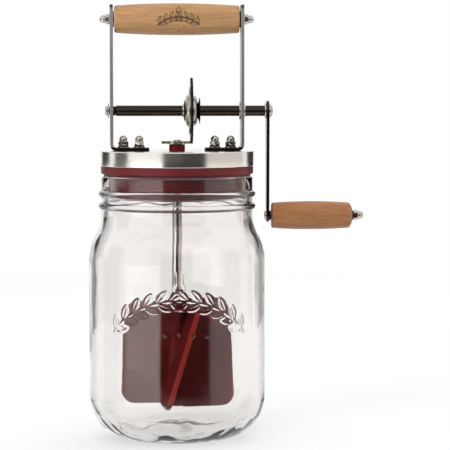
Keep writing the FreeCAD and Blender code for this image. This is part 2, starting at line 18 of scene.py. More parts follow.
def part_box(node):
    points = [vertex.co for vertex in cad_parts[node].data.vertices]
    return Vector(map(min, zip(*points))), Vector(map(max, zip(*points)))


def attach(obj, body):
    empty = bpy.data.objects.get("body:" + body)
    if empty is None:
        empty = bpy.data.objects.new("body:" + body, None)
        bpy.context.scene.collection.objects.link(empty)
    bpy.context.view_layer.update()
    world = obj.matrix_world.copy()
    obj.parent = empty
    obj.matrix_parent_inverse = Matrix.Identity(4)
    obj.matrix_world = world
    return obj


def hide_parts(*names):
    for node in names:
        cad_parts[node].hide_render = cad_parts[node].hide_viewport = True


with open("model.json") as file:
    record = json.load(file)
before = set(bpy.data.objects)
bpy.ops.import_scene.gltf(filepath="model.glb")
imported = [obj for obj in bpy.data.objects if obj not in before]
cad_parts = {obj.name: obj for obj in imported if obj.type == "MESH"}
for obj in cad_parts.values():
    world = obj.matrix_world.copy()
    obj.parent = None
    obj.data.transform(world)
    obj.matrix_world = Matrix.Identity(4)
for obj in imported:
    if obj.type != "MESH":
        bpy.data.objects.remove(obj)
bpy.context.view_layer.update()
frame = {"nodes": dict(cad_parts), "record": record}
MM = 0.001
BODY_OF = {node: body for body, nodes in frame["record"]["behaviour"]["bodies"].items() for node in nodes}

# %% [markdown]
# ## Floor, light and camera
#
# The churn stands on a plain pale floor in a white studio. Clear glass and polished steel have almost
# no colour of their own: they show what is round them. A plain white room would make them vanish, so
# the room is white with a few dark cards at chosen bearings, as a bottle is lit in a studio. The cards
# stand in two rings: the high one gives the lid its broad bands, and the low one gives the glass its
# grey edges. Only reflected and bent light meets them.

# %% Shader helpers
PAPER_WHITE = (1.0, 1.0, 1.0, 1.0)


def add(tree, kind, options=None, feeds=None):
    """Adds a shader node. Options are its settings; feeds are values or links for its inputs."""
    made = tree.nodes.new("ShaderNode" + kind)
    for option, value in (options or {}).items():
        setattr(made, option, value)
    for socket, value in (feeds or {}).items():
        if isinstance(value, bpy.types.NodeSocket):
            tree.links.new(value, made.inputs[socket])
        else:
            made.inputs[socket].default_value = value
    return made


def blend_colours(tree, factor, first, second):
    """The first colour where the factor is 0, the second where it is 1."""
    return add(tree, "Mix", {"data_type": "RGBA"}, {0: factor, 6: first, 7: second}).outputs[2]


def spread(tree, value, low, high, new_low, new_high):
    """Stretches the range low to high onto a new range, and holds the ends."""
    return add(tree, "MapRange", None, {0: value, 1: low, 2: high, 3: new_low, 4: new_high}).outputs[0]


def sums(tree, operation, first, second):
    """One step of arithmetic on two values or links."""
    return add(tree, "Math", {"operation": operation}, {0: first, 1: second}).outputs[0]


# %% The white room
world = bpy.data.worlds.new("studio")
bpy.context.scene.world = world
world.use_nodes = True
world.node_tree.nodes["Background"].inputs["Color"].default_value = PAPER_WHITE
world.node_tree.nodes["Background"].inputs["Strength"].default_value = 1.0
bpy.context.scene.view_settings.view_transform = "Standard"

# %% Cards round the churn
# Each row is a bearing in degrees, from straight behind the camera towards +X, and the shade of the
# card that starts there. None is a gap between cards. The lid and the crank see the high ring, and the
# glass sees the low one, whose cards are paler.
HIGH_CARDS = ((-180, None), (-149, 0.03), (-119, None), (-104, 0.14), (-77, None), (-22, 0.1), (6, 0.05),
              (41, 0.66), (112, None), (124, 0.04), (160, None))
LOW_CARDS = ((-180, None), (-150, 0.3), (-128, None), (-107, 0.2), (-80, 1.0), (-70, 2.2), (-23, 0.03),
             (41, 0.95), (100, None), (128, 0.42), (158, None))
CARD_LIGHT = 2.4            # the brightest a card may be
CARD_EDGE = 4.0             # degrees over which a card's edge fades
CARD_R, CARD_LOW, CARD_SPLIT, CARD_HIGH = 0.6, -0.09, 0.127, 0.36
HIGH_FADE, LOW_FADE = 0.05, 0.001       # metres over which each ring fades out at its top
CARD_TONE = (1.0, 0.97, 0.92)           # the cards' slightly warm grey


def card_ring(name, low, high, cards, fade):
    """A ring of cards that only reflected and bent light meets. It fades out at its top."""
    bpy.ops.object.select_all(action="DESELECT")
    bpy.ops.mesh.primitive_cylinder_add(vertices=128, radius=CARD_R, depth=high - low,
                                        end_fill_type="NOTHING", location=(0, 0, (high + low) / 2))
    ring = bpy.context.object
    ring.name = name
    finish = bpy.data.materials.new(name)
    finish.use_nodes = True
    tree = finish.node_tree
    place = add(tree, "SeparateXYZ", None, {0: add(tree, "TexCoord").outputs["Object"]}).outputs
    bearing = sums(tree, "ARCTAN2", place[0], sums(tree, "MULTIPLY", place[1], -1.0))
    ramp = add(tree, "ValToRGB", None, {0: spread(tree, bearing, -math.pi, math.pi, 0.0, 1.0)})
    stops = ramp.color_ramp.elements
    stops[0].color = stops[1].color = (0.0, 0.0, 0.0, 0.0)
    for (_, before), (where, after) in zip(cards, cards[1:]):
        for shift, side, other in ((-0.5, before, after), (0.5, after, before)):
            shade = (other if side is None else side) / CARD_LIGHT
            made = stops.new((where + shift * CARD_EDGE + 180) / 360)
            made.color = [shade * part for part in CARD_TONE] + [0.0 if side is None else 1.0]
    shader = tree.nodes["Principled BSDF"]
    shader.inputs["Base Color"].default_value = (0.0, 0.0, 0.0, 1.0)
    shader.inputs["Roughness"].default_value = 1.0
    shader.inputs["Specular IOR Level"].default_value = 0.0
    shader.inputs["Emission Strength"].default_value = CARD_LIGHT
    half = (high - low) / 2
    still = spread(tree, place[2], half - fade, half, 1.0, 0.0)
    tree.links.new(ramp.outputs["Color"], shader.inputs["Emission Color"])
    tree.links.new(sums(tree, "MULTIPLY", ramp.outputs["Alpha"], still), shader.inputs["Alpha"])
    ring.data.materials.append(finish)
    ring.visible_camera = ring.visible_diffuse = ring.visible_shadow = False
    print(name, "has", sum(shade is not None for _, shade in cards), "cards")


card_ring("high_cards", CARD_SPLIT, CARD_HIGH, HIGH_CARDS, HIGH_FADE)
card_ring("low_cards", CARD_LOW, CARD_SPLIT, LOW_CARDS, LOW_FADE)

# %% Two soft lamps


def soft_lamp(name, place, aim, size, power):
    """A large square lamp at a place, turned to face another."""
    light = bpy.data.lights.new(name, "AREA")
    light.size = size
    light.energy = power
    lamp = bpy.data.objects.new(name, light)
    lamp.location = place
    lamp.visible_glossy = lamp.visible_transmission = False
    lamp.rotation_euler = (Vector(aim) - Vector(place)).to_track_quat("-Z", "Y").to_euler()
    bpy.context.scene.collection.objects.link(lamp)


CHURN_MIDDLE = (0.0, 0.0, 0.14)
soft_lamp("key_lamp", (-0.7, -0.9, 1.0), CHURN_MIDDLE, 0.6, 9.0)
soft_lamp("rim_lamp", (0.9, 0.6, 0.8), CHURN_MIDDLE, 0.5, 4.0)
print("two lamps")

# %% The floor and the camera
FLOOR_R = 1.4
PAPER_MIDDLE, PAPER_SOLID, PAPER_GONE = (0.0, 0.45, 0.0), 0.6, 0.78     # the floor fades out between
PAPER_GREY, PAPER_GLOW = (0.4, 0.4, 0.4, 1.0), 0.47
CAMERA_PLACE = (-0.0262, -1.231, 0.2070)
CAMERA_TURN, CAMERA_DIP = 2.586, 3.565      # degrees to the right of +Y, and below level
CAMERA_LENS = 160.8

bpy.ops.object.select_all(action="DESELECT")
bpy.ops.mesh.primitive_circle_add(vertices=128, radius=FLOOR_R, fill_type="NGON", location=(0, 0, 0))
floor = bpy.context.object
floor.name = "floor"
paper = bpy.data.materials.new("floor_paper")
paper.use_nodes = True
paper_tree = paper.node_tree
paper_shader = paper_tree.nodes["Principled BSDF"]
paper_at = add(paper_tree, "TexCoord").outputs["Object"]
distance = add(paper_tree, "VectorMath", {"operation": "DISTANCE"}, {0: paper_at, 1: PAPER_MIDDLE})
paper_tree.links.new(spread(paper_tree, distance.outputs["Value"], PAPER_SOLID, PAPER_GONE, 1.0, 0.0),
                     paper_shader.inputs["Alpha"])
paper_shader.inputs["Base Color"].default_value = PAPER_GREY
paper_shader.inputs["Roughness"].default_value = 0.7
paper_shader.inputs["Emission Color"].default_value = PAPER_WHITE
paper_shader.inputs["Emission Strength"].default_value = PAPER_GLOW
floor.data.materials.append(paper)
floor.visible_glossy = False

camera_data = bpy.data.cameras.new("camera")
camera_data.lens = CAMERA_LENS
camera = bpy.data.objects.new("camera", camera_data)
camera.location = CAMERA_PLACE
camera.rotation_euler = (math.radians(90 - CAMERA_DIP), 0.0, math.radians(-CAMERA_TURN))
bpy.context.scene.collection.objects.link(camera)
bpy.context.scene.camera = camera
print("camera at", tuple(round(c, 3) for c in camera.location))

# %% [markdown]
# ## Effects that several finishes share
#
# Fine brushing, finger smudges and wood grain each turn up in more than one finish. Each is a node
# group, built once, with its own inputs. Every material places it with its own values, so a change
# to a group reaches all of them.

# %% Helpers for groups


def new_group(name, inputs, outputs):
    """An empty node group. Inputs are (name, kind, start value) and outputs are (name, kind)."""
    tree = bpy.data.node_groups.new(name, "ShaderNodeTree")
    for socket, kind, value in inputs:
        made = tree.interface.new_socket(socket, in_out="INPUT", socket_type="NodeSocket" + kind)
        if value is not None:
            made.default_value = value
    for socket, kind in outputs:
        tree.interface.new_socket(socket, in_out="OUTPUT", socket_type="NodeSocket" + kind)
    return tree, tree.nodes.new("NodeGroupInput").outputs, tree.nodes.new("NodeGroupOutput").inputs


def place_group(tree, group, feeds):
    """Places a group in a material and gives its outputs."""
    return add(tree, "Group", {"node_tree": group}, feeds).outputs


# %% Brushing and smudges
BRUSHING, given, result = new_group(
    "brushing", (("Vector", "Vector", None), ("Fineness", "Float", 4000.0)), (("Streaks", "Float"),))
coarse = add(BRUSHING, "TexNoise", None, {"Vector": given["Vector"], "Scale": given["Fineness"],
                                          "Detail": 4.0, "Roughness": 0.65})
BRUSHING.links.new(spread(BRUSHING, coarse.outputs[0], 0.32, 0.68, 0.0, 1.0), result["Streaks"])

SMUDGES, given, result = new_group(
    "smudges", (("Vector", "Vector", None), ("Size", "Float", 60.0)), (("Smudge", "Float"),))
patches = add(SMUDGES, "TexNoise", None, {"Vector": given["Vector"], "Scale": given["Size"],
                                          "Detail": 3.0, "Distortion": 0.6})
SMUDGES.links.new(spread(SMUDGES, patches.outputs[0], 0.45, 0.75, 0.0, 1.0), result["Smudge"])
print("groups:", BRUSHING.name, SMUDGES.name)

# %% Wood grain
WOOD, given, result = new_group(
    "wood_grain",
    (("Vector", "Vector", None), ("Pale", "Color", None), ("Deep", "Color", None), ("Fleck", "Color", None)),
    (("Color", "Color"), ("Height", "Float")))
LONG_GRAIN = (0.07, 1.0, 1.0)      # fibres run along X, so X is squeezed
FLECK_SHAPE = (0.16, 1.0, 1.0)
along = add(WOOD, "Mapping", None, {"Vector": given["Vector"], "Scale": LONG_GRAIN}).outputs[0]
bands = add(WOOD, "TexNoise", None, {"Vector": along, "Scale": 260.0, "Detail": 3.0, "Distortion": 0.8})
fibres = add(WOOD, "TexNoise", None, {"Vector": along, "Scale": 1100.0, "Detail": 5.0, "Roughness": 0.75})
fleck_at = add(WOOD, "Mapping", None, {"Vector": given["Vector"], "Scale": FLECK_SHAPE}).outputs[0]
flecks = add(WOOD, "TexVoronoi", None, {"Vector": fleck_at, "Scale": 1000.0, "Randomness": 1.0})
dash = spread(WOOD, flecks.outputs["Distance"], 0.1, 0.3, 1.0, 0.0)
band_mask = spread(WOOD, bands.outputs[0], 0.38, 0.62, 0.0, 0.6)
fibre_mask = spread(WOOD, fibres.outputs[0], 0.35, 0.65, -0.25, 0.65)
toned = blend_colours(WOOD, sums(WOOD, "ADD", band_mask, fibre_mask), given["Pale"], given["Deep"])
flecked = blend_colours(WOOD, sums(WOOD, "MULTIPLY", dash, 0.55), toned, given["Fleck"])
WOOD.links.new(flecked, result["Color"])
WOOD.links.new(sums(WOOD, "SUBTRACT", fibres.outputs[0], dash), result["Height"])
print("group:", WOOD.name)

# %% [markdown]
# ## Finishes
#
# Each finish is a material named as the parts list names it. The steels differ in tone, gloss and the way
# they were brushed, so one function makes them all. The Mapping node squeezes the pattern along the brushing,
# which turns round noise into streaks. The straps' feet and tips carry a painted dark reflection: their
# finish is darkened there by height, in place of the dark surroundings that they mirror.

# %% Steel
FINISH = {}             # every finish by its name


def colour(code):
    """A linear colour from a web colour code."""
    parts = (int(code[i:i + 2], 16) / 255 for i in (1, 3, 5))
    return tuple(p / 12.92 if p <= 0.04045 else ((p + 0.055) / 1.055) ** 2.4 for p in parts) + (1.0,)


def new_finish(name):
    """Starts a finish and gives its node tree, its shader and the place on the piece."""
    FINISH[name] = bpy.data.materials.new(name)
    FINISH[name].use_nodes = True
    tree = FINISH[name].node_tree
    return tree, tree.nodes["Principled BSDF"], add(tree, "TexCoord").outputs["Object"]


def recolour(name, mask_of, code):
    """Blends another colour into a finish where a mask of the place on the piece is 1."""
    tree = FINISH[name].node_tree
    base = tree.nodes["Principled BSDF"].inputs["Base Color"]
    mask = mask_of(tree, add(tree, "TexCoord").outputs["Object"])
    tree.links.new(blend_colours(tree, mask, base.links[0].from_socket, colour(code)), base)


def set_bump(tree, shader, height, depth):
    """Feeds a height in metres to the shader's normal."""
    bump = add(tree, "Bump", None, {"Height": height, "Strength": 1.0, "Distance": depth})
    tree.links.new(bump.outputs[0], shader.inputs["Normal"])


def steel(name, pale, deep, roughness, brush, fineness=3000.0, smudge=0.06, depth=0.000004):
    """A steel finish. Brush squeezes the streaks along their own direction."""
    tree, shader, where = new_finish(name)
    squeezed = add(tree, "Mapping", None, {"Vector": where, "Scale": brush}).outputs[0]
    streaks = place_group(tree, BRUSHING, {"Vector": squeezed, "Fineness": fineness})["Streaks"]
    marks = place_group(tree, SMUDGES, {"Vector": where})["Smudge"]
    tree.links.new(blend_colours(tree, streaks, colour(pale), colour(deep)), shader.inputs["Base Color"])
    shine = sums(tree, "ADD", spread(tree, streaks, 0.0, 1.0, roughness * 0.75, roughness * 1.3),
                 sums(tree, "MULTIPLY", marks, smudge))
    tree.links.new(shine, shader.inputs["Roughness"])
    shader.inputs["Metallic"].default_value = 1.0
    set_bump(tree, shader, streaks, depth)


EVEN = (1.0, 1.0, 1.0)      # not brushed one way
steel("brushed_lid_steel", "#f6f3ee", "#e2ddd6", 0.16, (0.01, 0.01, 1.0), 5200.0, 0.04, 0.0000012)
steel("strap_steel", "#d2cec9", "#aaa49e", 0.34, (1.0, 1.0, 0.04))
steel("polished_steel", "#d0cdc9", "#b6b1ac", 0.06, (1.0, 1.0, 0.3), 1500.0, 0.04)
steel("dark_polished_steel", "#4a433d", "#2b2622", 0.2, (0.04, 1.0, 1.0))
steel("gear_steel", "#cdc7be", "#8f887e", 0.16, EVEN, 1200.0, 0.1)
steel("dark_steel", "#3a3430", "#1f1b18", 0.3, EVEN, 1200.0, 0.1)
steel("pale_steel", "#e2ddd6", "#bdb6ac", 0.2, EVEN, 1200.0, 0.08)

# Heights of the painted dark reflection on the straps' feet and tips, standing in for the dark surroundings
# that they mirror.
FOOT_DARK_BELOW, FOOT_PALE_ABOVE = 0.1779, 0.1786       # metres above the floor
TIP_PALE_BELOW, TIP_DARK_ABOVE, TIP_DARKNESS = 0.2615, 0.2635, 0.8


def strap_painted_dark_reflection(tree, where):
    """Painted dark reflection on the straps' feet and tips: a mask by height, 1 where they are darkened."""
    height_up = add(tree, "SeparateXYZ", None, {0: where}).outputs[2]
    foot = spread(tree, height_up, FOOT_DARK_BELOW, FOOT_PALE_ABOVE, 1.0, 0.0)
    tip = spread(tree, height_up, TIP_PALE_BELOW, TIP_DARK_ABOVE, 0.0, TIP_DARKNESS)
    return sums(tree, "MAXIMUM", foot, tip)


# Painted dark reflection: the straps' feet and tips are coloured near black.
recolour("strap_steel", strap_painted_dark_reflection, "#2a2522")
print("steels:", ", ".join(FINISH))

# %% [markdown]
# The seal is soft silicone with a dull sheen, and the paddle is glossy moulded plastic. Both are the same
# wine red, so one function makes them and the black plastic of the small end washers too. The blades' outer
# edges get a painted highlight: the finish is brightened to a paler red there by distance from the axis.

# %% Plastics


def moulded(name, pale, deep, roughness, grain, depth, specular=0.5):
    """A moulded finish: slightly uneven colour and gloss, with a fine skin."""
    tree, shader, where = new_finish(name)
    marks = place_group(tree, SMUDGES, {"Vector": where, "Size": 45.0})["Smudge"]
    skin = place_group(tree, BRUSHING, {"Vector": where, "Fineness": grain})["Streaks"]
    tree.links.new(blend_colours(tree, marks, colour(pale), colour(deep)), shader.inputs["Base Color"])
    shine = sums(tree, "ADD", spread(tree, skin, 0.0, 1.0, roughness * 0.9, roughness * 1.15),
                 sums(tree, "MULTIPLY", marks, 0.08))
    tree.links.new(shine, shader.inputs["Roughness"])
    shader.inputs["Specular IOR Level"].default_value = specular
    set_bump(tree, shader, skin, depth)


moulded("burgundy_silicone", "#621b1e", "#511417", 0.36, 2600.0, 0.000006, 0.25)
moulded("burgundy_plastic", "#661719", "#541214", 0.13, 900.0, 0.0000005, 0.1)
moulded("black_plastic", "#1b1918", "#121110", 0.45, 3200.0, 0.000008)

# Distances from the axis of the painted highlight on the blades' outer edges.
EDGE_START, EDGE_FULL = 0.0334, 0.0338      # metres from the axis


def blade_edge_painted_highlight(tree, where):
    """Painted highlight: a mask that is 1 on the blades' outer edges."""
    level = add(tree, "Mapping", None, {"Vector": where, "Scale": (1, 1, 0)}).outputs[0]
    from_axis = add(tree, "VectorMath", {"operation": "LENGTH"}, {0: level}).outputs["Value"]
    return spread(tree, from_axis, EDGE_START, EDGE_FULL, 0.0, 1.0)


# Painted highlight: the blades' outer edges are coloured a paler red.
recolour("burgundy_plastic", blade_edge_painted_highlight, "#9c322b")
print("finishes so far:", len(FINISH))

# %% [markdown]
# Both grips are beech. The grain runs along each grip, and short dark flecks mark it as beech rather
# than pine. The carrying grip has a small sprig burnt into it: its mesh carries a "burnt" value on
# each point, which is 1 on the sprig's lines, and the finish darkens and dulls the wood there.

# %% Beech


def beech(name, pale, deep, fleck):
    """Sealed beech with an optional burnt mark."""
    tree, shader, where = new_finish(name)
    grain = place_group(tree, WOOD, {"Vector": where, "Pale": colour(pale), "Deep": colour(deep),
                                     "Fleck": colour(fleck)})
    burnt = add(tree, "Attribute", {"attribute_name": "burnt"}).outputs["Fac"]
    marks = place_group(tree, SMUDGES, {"Vector": where, "Size": 90.0})["Smudge"]
    scorched = blend_colours(tree, burnt, grain["Color"], colour("#2c160a"))
    tree.links.new(scorched, shader.inputs["Base Color"])
    shine = sums(tree, "ADD", spread(tree, marks, 0.0, 1.0, 0.42, 0.52), sums(tree, "MULTIPLY", burnt, 0.25))
    tree.links.new(shine, shader.inputs["Roughness"])
    set_bump(tree, shader, grain["Height"], 0.00003)


beech("pale_beech", "#b08558", "#957047", "#744d2a")
beech("warm_beech", "#a06c3f", "#87562e", "#683d1e")

# %% [markdown]
# Clear glass is the shader's plain transmission with the refraction of bottle glass. What tells the
# eye that it is glass is the shape: a real wall thickness, an uneven inside and a thick base. The
# finish adds only a breath of tint, a few smudges and a faint waviness.

# %% Glass
tree, shader, where = new_finish("clear_glass")
smudge = place_group(tree, SMUDGES, {"Vector": where, "Size": 40.0})["Smudge"]
tint = blend_colours(tree, smudge, (0.934, 0.921, 0.911, 1.0), (0.925, 0.91, 0.899, 1.0))
tree.links.new(tint, shader.inputs["Base Color"])
tree.links.new(spread(tree, smudge, 0.0, 1.0, 0.0, 0.015), shader.inputs["Roughness"])
shader.inputs["Transmission Weight"].default_value = 1.0
shader.inputs["IOR"].default_value = 1.5
waviness = add(tree, "TexNoise", None, {"Vector": where, "Scale": 70.0, "Detail": 1.0}).outputs[0]
set_bump(tree, shader, waviness, 0.0001)
print("all finishes:", len(FINISH))

# %% [markdown]
# ## Ways of modelling
#
# Most of this churn is turned on a lathe, so most pieces start as one point that is extruded along
# half of the piece's outline and then spun round its axis. The rest are flat plates: an outline is
# filled and pulled to its thickness. Both ways leave clean quads and exact sizes.

# %% Starting and finishing a piece


def deselect():
    """Leaves edit mode and selects nothing, so that the next operator acts on the new piece only."""
    if bpy.context.object and bpy.context.object.mode != "OBJECT":
        bpy.ops.object.mode_set(mode="OBJECT")
    bpy.ops.object.select_all(action="DESELECT")


def named(name):
    """Names the piece that was just added."""
    piece = bpy.context.object
    piece.name = piece.data.name = name
    return piece


def only(piece):
    """Selects one piece and makes it the active one."""
    deselect()
    piece.select_set(True)
    bpy.context.view_layer.objects.active = piece


def settle(piece):
    """Puts the piece's place into its mesh and shades it by angle."""
    only(piece)
    bpy.ops.object.transform_apply(location=True, rotation=True, scale=True)
    bpy.ops.object.shade_smooth_by_angle(angle=math.radians(32))
    return piece


def fit(piece, finish, *nodes):
    """The piece takes its finish, rides with its body and stands for its nodes."""
    piece.data.materials.clear()
    piece.data.materials.append(FINISH[finish])
    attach(piece, BODY_OF[nodes[0]])
    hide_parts(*nodes)
    print(f"{piece.name}: {len(piece.data.polygons)} faces")


def box_mm(node):
    """A node's lowest and highest corner in millimetres."""
    low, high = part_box(node)
    return low / MM, high / MM


# %% Drawing an outline


def arc(middle, radius, first, last, count):
    """Points on an arc about a middle, from one angle to another in degrees."""
    turns = (math.radians(first + (last - first) * i / count) for i in range(count + 1))
    return [(middle[0] + radius * math.cos(t), middle[1] + radius * math.sin(t)) for t in turns]


def soften(points, radius, closed=True, count=3):
    """Rounds the corners of an outline, as deburring does."""
    corners = [Vector(p) for p in points]
    rounded = []
    for i, corner in enumerate(corners):
        before, after = corners[i - 1] - corner, corners[(i + 1) % len(corners)] - corner
        at_end = not closed and i in (0, len(corners) - 1)
        if at_end or before.angle(after) > math.radians(150):
            rounded.append(corner)
            continue
        reach = min(radius / math.tan(before.angle(after) / 2), before.length * 0.45, after.length * 0.45)
        start, end = corner + before.normalized() * reach, corner + after.normalized() * reach
        for step in range(count + 1):
            t = step / count
            rounded.append(start * (1 - t) ** 2 + corner * 2 * t * (1 - t) + end * t ** 2)
    if closed:
        rounded.append(rounded[0])
    return [tuple(p) for p in rounded]


def draw_wire(name, points):
    """One point, extruded along a list of points."""
    deselect()
    bpy.ops.mesh.primitive_plane_add(size=MM, location=points[0])
    piece = named(name)
    bpy.ops.object.mode_set(mode="EDIT")
    bpy.ops.mesh.merge(type="CENTER")
    for here, there in zip(points, points[1:]):
        bpy.ops.mesh.extrude_region_move(TRANSFORM_OT_translate={"value": there - here})
    bpy.ops.mesh.select_all(action="SELECT")
    return piece


# %% The lathe
WELD = 0.000004         # points nearer than this become one


def lathe(name, outline, axis="Z", height=0.0, steps=64, front=None):
    """Spins an outline of (radius, place along the axis), in mm, about Z or about a line along X.

    Front is an optional half angle and step count for a finer stretch that faces the camera.
    """
    half, fine_steps = front or (0, 0)
    start = math.radians((-90 if axis == "Z" else 180) + half)

    def place(radius, along):
        across, up = radius * math.cos(start), radius * math.sin(start)
        return Vector((across, up, along) if axis == "Z" else (along, across, height + up)) * MM

    piece = draw_wire(name, [place(*point) for point in outline])
    middle = (0, 0, height * MM)
    direction = (0, 0, 1) if axis == "Z" else (1, 0, 0)
    for degrees, count in ((2 * half, fine_steps), (360 - 2 * half, steps)):
        if count and degrees:
            bpy.ops.mesh.spin(steps=count, angle=math.radians(degrees), center=middle, axis=direction)
    bpy.ops.mesh.select_all(action="SELECT")
    bpy.ops.mesh.remove_doubles(threshold=WELD)
    bpy.ops.mesh.normals_make_consistent(inside=False)
    return settle(piece)


def ring_outline(outer, inner, low, high):
    """The half section of a plain ring."""
    return [(inner, low), (outer, low), (outer, high), (inner, high)]


# %% Plates, holes and edges


def plate(name, outline, axis, low, high):
    """Fills an outline in mm and pulls it along an axis, from low to high."""
    order = {"X": lambda a, b: (low, a, b), "Y": lambda a, b: (a, low, b), "Z": lambda a, b: (a, b, low)}
    points = [Vector(order[axis](*p)) * MM for p in outline]
    piece = draw_wire(name, points + points[:1])
    bpy.ops.mesh.remove_doubles(threshold=WELD)
    bpy.ops.mesh.edge_face_add()
    pull = Vector([(high - low) * MM if axis == a else 0.0 for a in "XYZ"])
    bpy.ops.mesh.extrude_region_move(TRANSFORM_OT_translate={"value": pull})
    bpy.ops.mesh.select_all(action="SELECT")
    bpy.ops.mesh.normals_make_consistent(inside=False)
    return settle(piece)


def combine(piece, other, operation):
    """Cuts another piece away from this one, or joins it on, and removes the other."""
    only(piece)
    change = piece.modifiers.new("combine", "BOOLEAN")
    change.operation = operation
    change.object = other
    change.solver = "EXACT"
    bpy.ops.object.modifier_apply(modifier=change.name)
    bpy.data.objects.remove(other)


DRILL_DEPTH = 8.0       # more than any plate's thickness
TURN_TO = {"X": (0, math.pi / 2, 0), "Y": (math.pi / 2, 0, 0), "Z": (0, 0, 0)}


def drill(piece, radius, axis, middle, depth=DRILL_DEPTH):
    """Drills a round hole along an axis, through a middle point in mm."""
    deselect()
    bpy.ops.mesh.primitive_cylinder_add(vertices=48, radius=radius * MM, depth=depth * MM,
                                        location=Vector(middle) * MM, rotation=TURN_TO[axis])
    combine(piece, bpy.context.object, "DIFFERENCE")


def ease(piece, width, segments=2):
    """Rounds every sharp edge by a small width in mm."""
    only(piece)
    change = piece.modifiers.new("ease", "BEVEL")
    change.width = width * MM
    change.segments = segments
    change.limit_method = "ANGLE"
    change.angle_limit = math.radians(34)
    change.use_clamp_overlap = True
    bpy.ops.object.modifier_apply(modifier=change.name)
    return settle(piece)


def copy_of(piece, turn=(0, 0, 0), move=(0, 0, 0)):
    """A copy with its own mesh, turned in degrees and then moved in mm."""
    deselect()
    twin = piece.copy()
    twin.data = piece.data.copy()
    bpy.context.scene.collection.objects.link(twin)
    twin.rotation_euler = [math.radians(a) for a in turn]
    twin.location = Vector(move) * MM
    return settle(twin)


def joined(name, pieces):
    """Several loose pieces in one object."""
    deselect()
    for piece in pieces:
        piece.select_set(True)
    bpy.context.view_layer.objects.active = pieces[0]
    if len(pieces) > 1:
        bpy.ops.object.join()
    return named(name)


# %% [markdown]
# ## A sprig garland
#
# The jar carries a raised arch of leaves, and the carrying grip a small burnt one. Both come from one
# drawing: leaves in pairs along a bent stem, a drop at the top of the arch and a row of dots under
# it. The drawing is a function that says how strongly a point lies on a line, from 0 to 1. The mesh
# under it is fine enough to be moved point by point, as a sculptor would.

# %% The drawing


def mound(distance, half_width):
    """1 on a line and 0 beyond half its width, with soft sides."""
    return max(0.0, 1.0 - (distance / half_width) ** 2)


def make_garland(radius, half_angle, pairs, length, width, line):
    """The garland's leaves, stem, drop and dots, about the top middle of its arch."""
    leaves = []
    for side in (-1, 1):
        for i in range(pairs):
            turn = math.radians(half_angle) * (i + 0.75) / pairs * side
            root = Vector((radius * math.sin(turn), radius * (math.cos(turn) - 1)))
            upwards = math.atan2(side * math.sin(turn), -side * math.cos(turn))
            for lean in (-0.62, 0.62):
                way = Vector((math.cos(upwards + lean), math.sin(upwards + lean)))
                leaves.append((root + way * length * 0.56, way))
    return {"radius": radius, "half_angle": math.radians(half_angle), "leaves": leaves,
            "length": length, "width": width, "line": line}


def on_garland(garland, across, up, raised):
    """How far a point stands out, from 0 to 1: whole leaves if raised, or else their outlines only."""
    here = Vector((across, up))
    line, reach, half_width = garland["line"], garland["length"] / 2, garland["width"] / 2
    from_middle = here + Vector((0, garland["radius"]))
    strength = 0.0
    if abs(math.atan2(from_middle.x, from_middle.y)) < garland["half_angle"]:
        strength = mound(from_middle.length - garland["radius"], line)
    for middle, way in garland["leaves"]:
        along = (here - middle).dot(way) / reach
        if abs(along) < 1.0:
            aside = abs((here - middle).cross(way))
            inside = half_width * (1 - along * along) - aside
            if inside > 0 and raised:
                strength = max(strength, min(1.0, inside / line) - 0.6 * mound(aside, line * 0.5))
            elif inside > 0:
                rim, vein = mound(inside - line * 0.6, line * 0.6), mound(aside, line * 0.5)
                strength = max(strength, rim, 0.7 * vein)
    drop = Vector((across, up - reach * 1.5))
    drop_width = half_width * (1.25 if drop.y < 0 else 1.25 - 0.5 * drop.y / half_width)
    strength = max(strength, mound(math.hypot(drop.x, min(drop.y, 0.0)) - drop_width, line * 0.7)
                   if drop.y < half_width * 2.5 else 0.0)
    for i in range(-2, 3):
        dot = here - Vector((i * garland["length"] * 0.8, -garland["length"] * 1.9 - abs(i) * line))
        strength = max(strength, mound(dot.length, line * 1.3))
    return strength


print("mound check:", mound(0.0, 1.0), mound(1.0, 1.0))

# %% [markdown]
# ## The jar
#
# The jar is pressed and blown glass. It is modelled as one closed shell, outside and inside, because
# light bends at both surfaces and a single skin would look like film. Its base is pushed up in the
# middle and its inside is a little uneven, as moulded glass is, which gives the base its curved
# streaks. The front is spun in finer steps to carry the raised garland.

# %% Sizes of the jar
jar_low, jar_high = box_mm("glass_jar")
JAR_R, JAR_TOP = jar_high.x, jar_high.z
JAR_WALL, JAR_FLOOR, HEEL_R = 3.6, 5.0, 25.8
SHOULDER_Z, NECK_Z, NECK_R, BORE_R = 107.0, 138.0, 46.3, 42.9
SHOULDER_SPLIT = 0.58       # share of the shoulder that curves outwards
BEAD_RISE, BEAD_HALF = 1.9, 2.1
BEAD_DROPS = (18.4, 10.9)   # from the rim to each bead
BASE_PUSH_UP, FLOOR_PUSH_UP = 2.4, 1.8
GARLAND_LOW, GARLAND_HIGH, GARLAND_ROW = 55.0, 99.0, 0.5


def shoulder(low_r, high_r, count=12):
    """Two arcs that lead from the wall in to the neck."""
    drop, rise = low_r - high_r, NECK_Z - SHOULDER_Z
    turn = 2 * math.atan2(drop, rise)
    first = rise / math.sin(turn) * SHOULDER_SPLIT
    second = rise / math.sin(turn) - first
    lower = arc((low_r - first, SHOULDER_Z), first, 0, math.degrees(turn), count)
    upper = arc((high_r + second, NECK_Z), second, 180 + math.degrees(turn), 180, count)
    return lower + upper[1:]


def bead(middle_z, count=10):
    """A rounded ring that stands out of the neck."""
    turns = [math.pi * i / count for i in range(count + 1)]
    return [(NECK_R + BEAD_RISE * math.sin(t) ** 1.3, middle_z - BEAD_HALF * math.cos(t)) for t in turns]


def pushed_up(flat_r, level, rise, count=8):
    """A shallow dome from the axis out to a flat radius."""
    return [(flat_r * i / count, level + rise * math.cos(math.pi / 2 * i / count) ** 2) for i in range(count)]


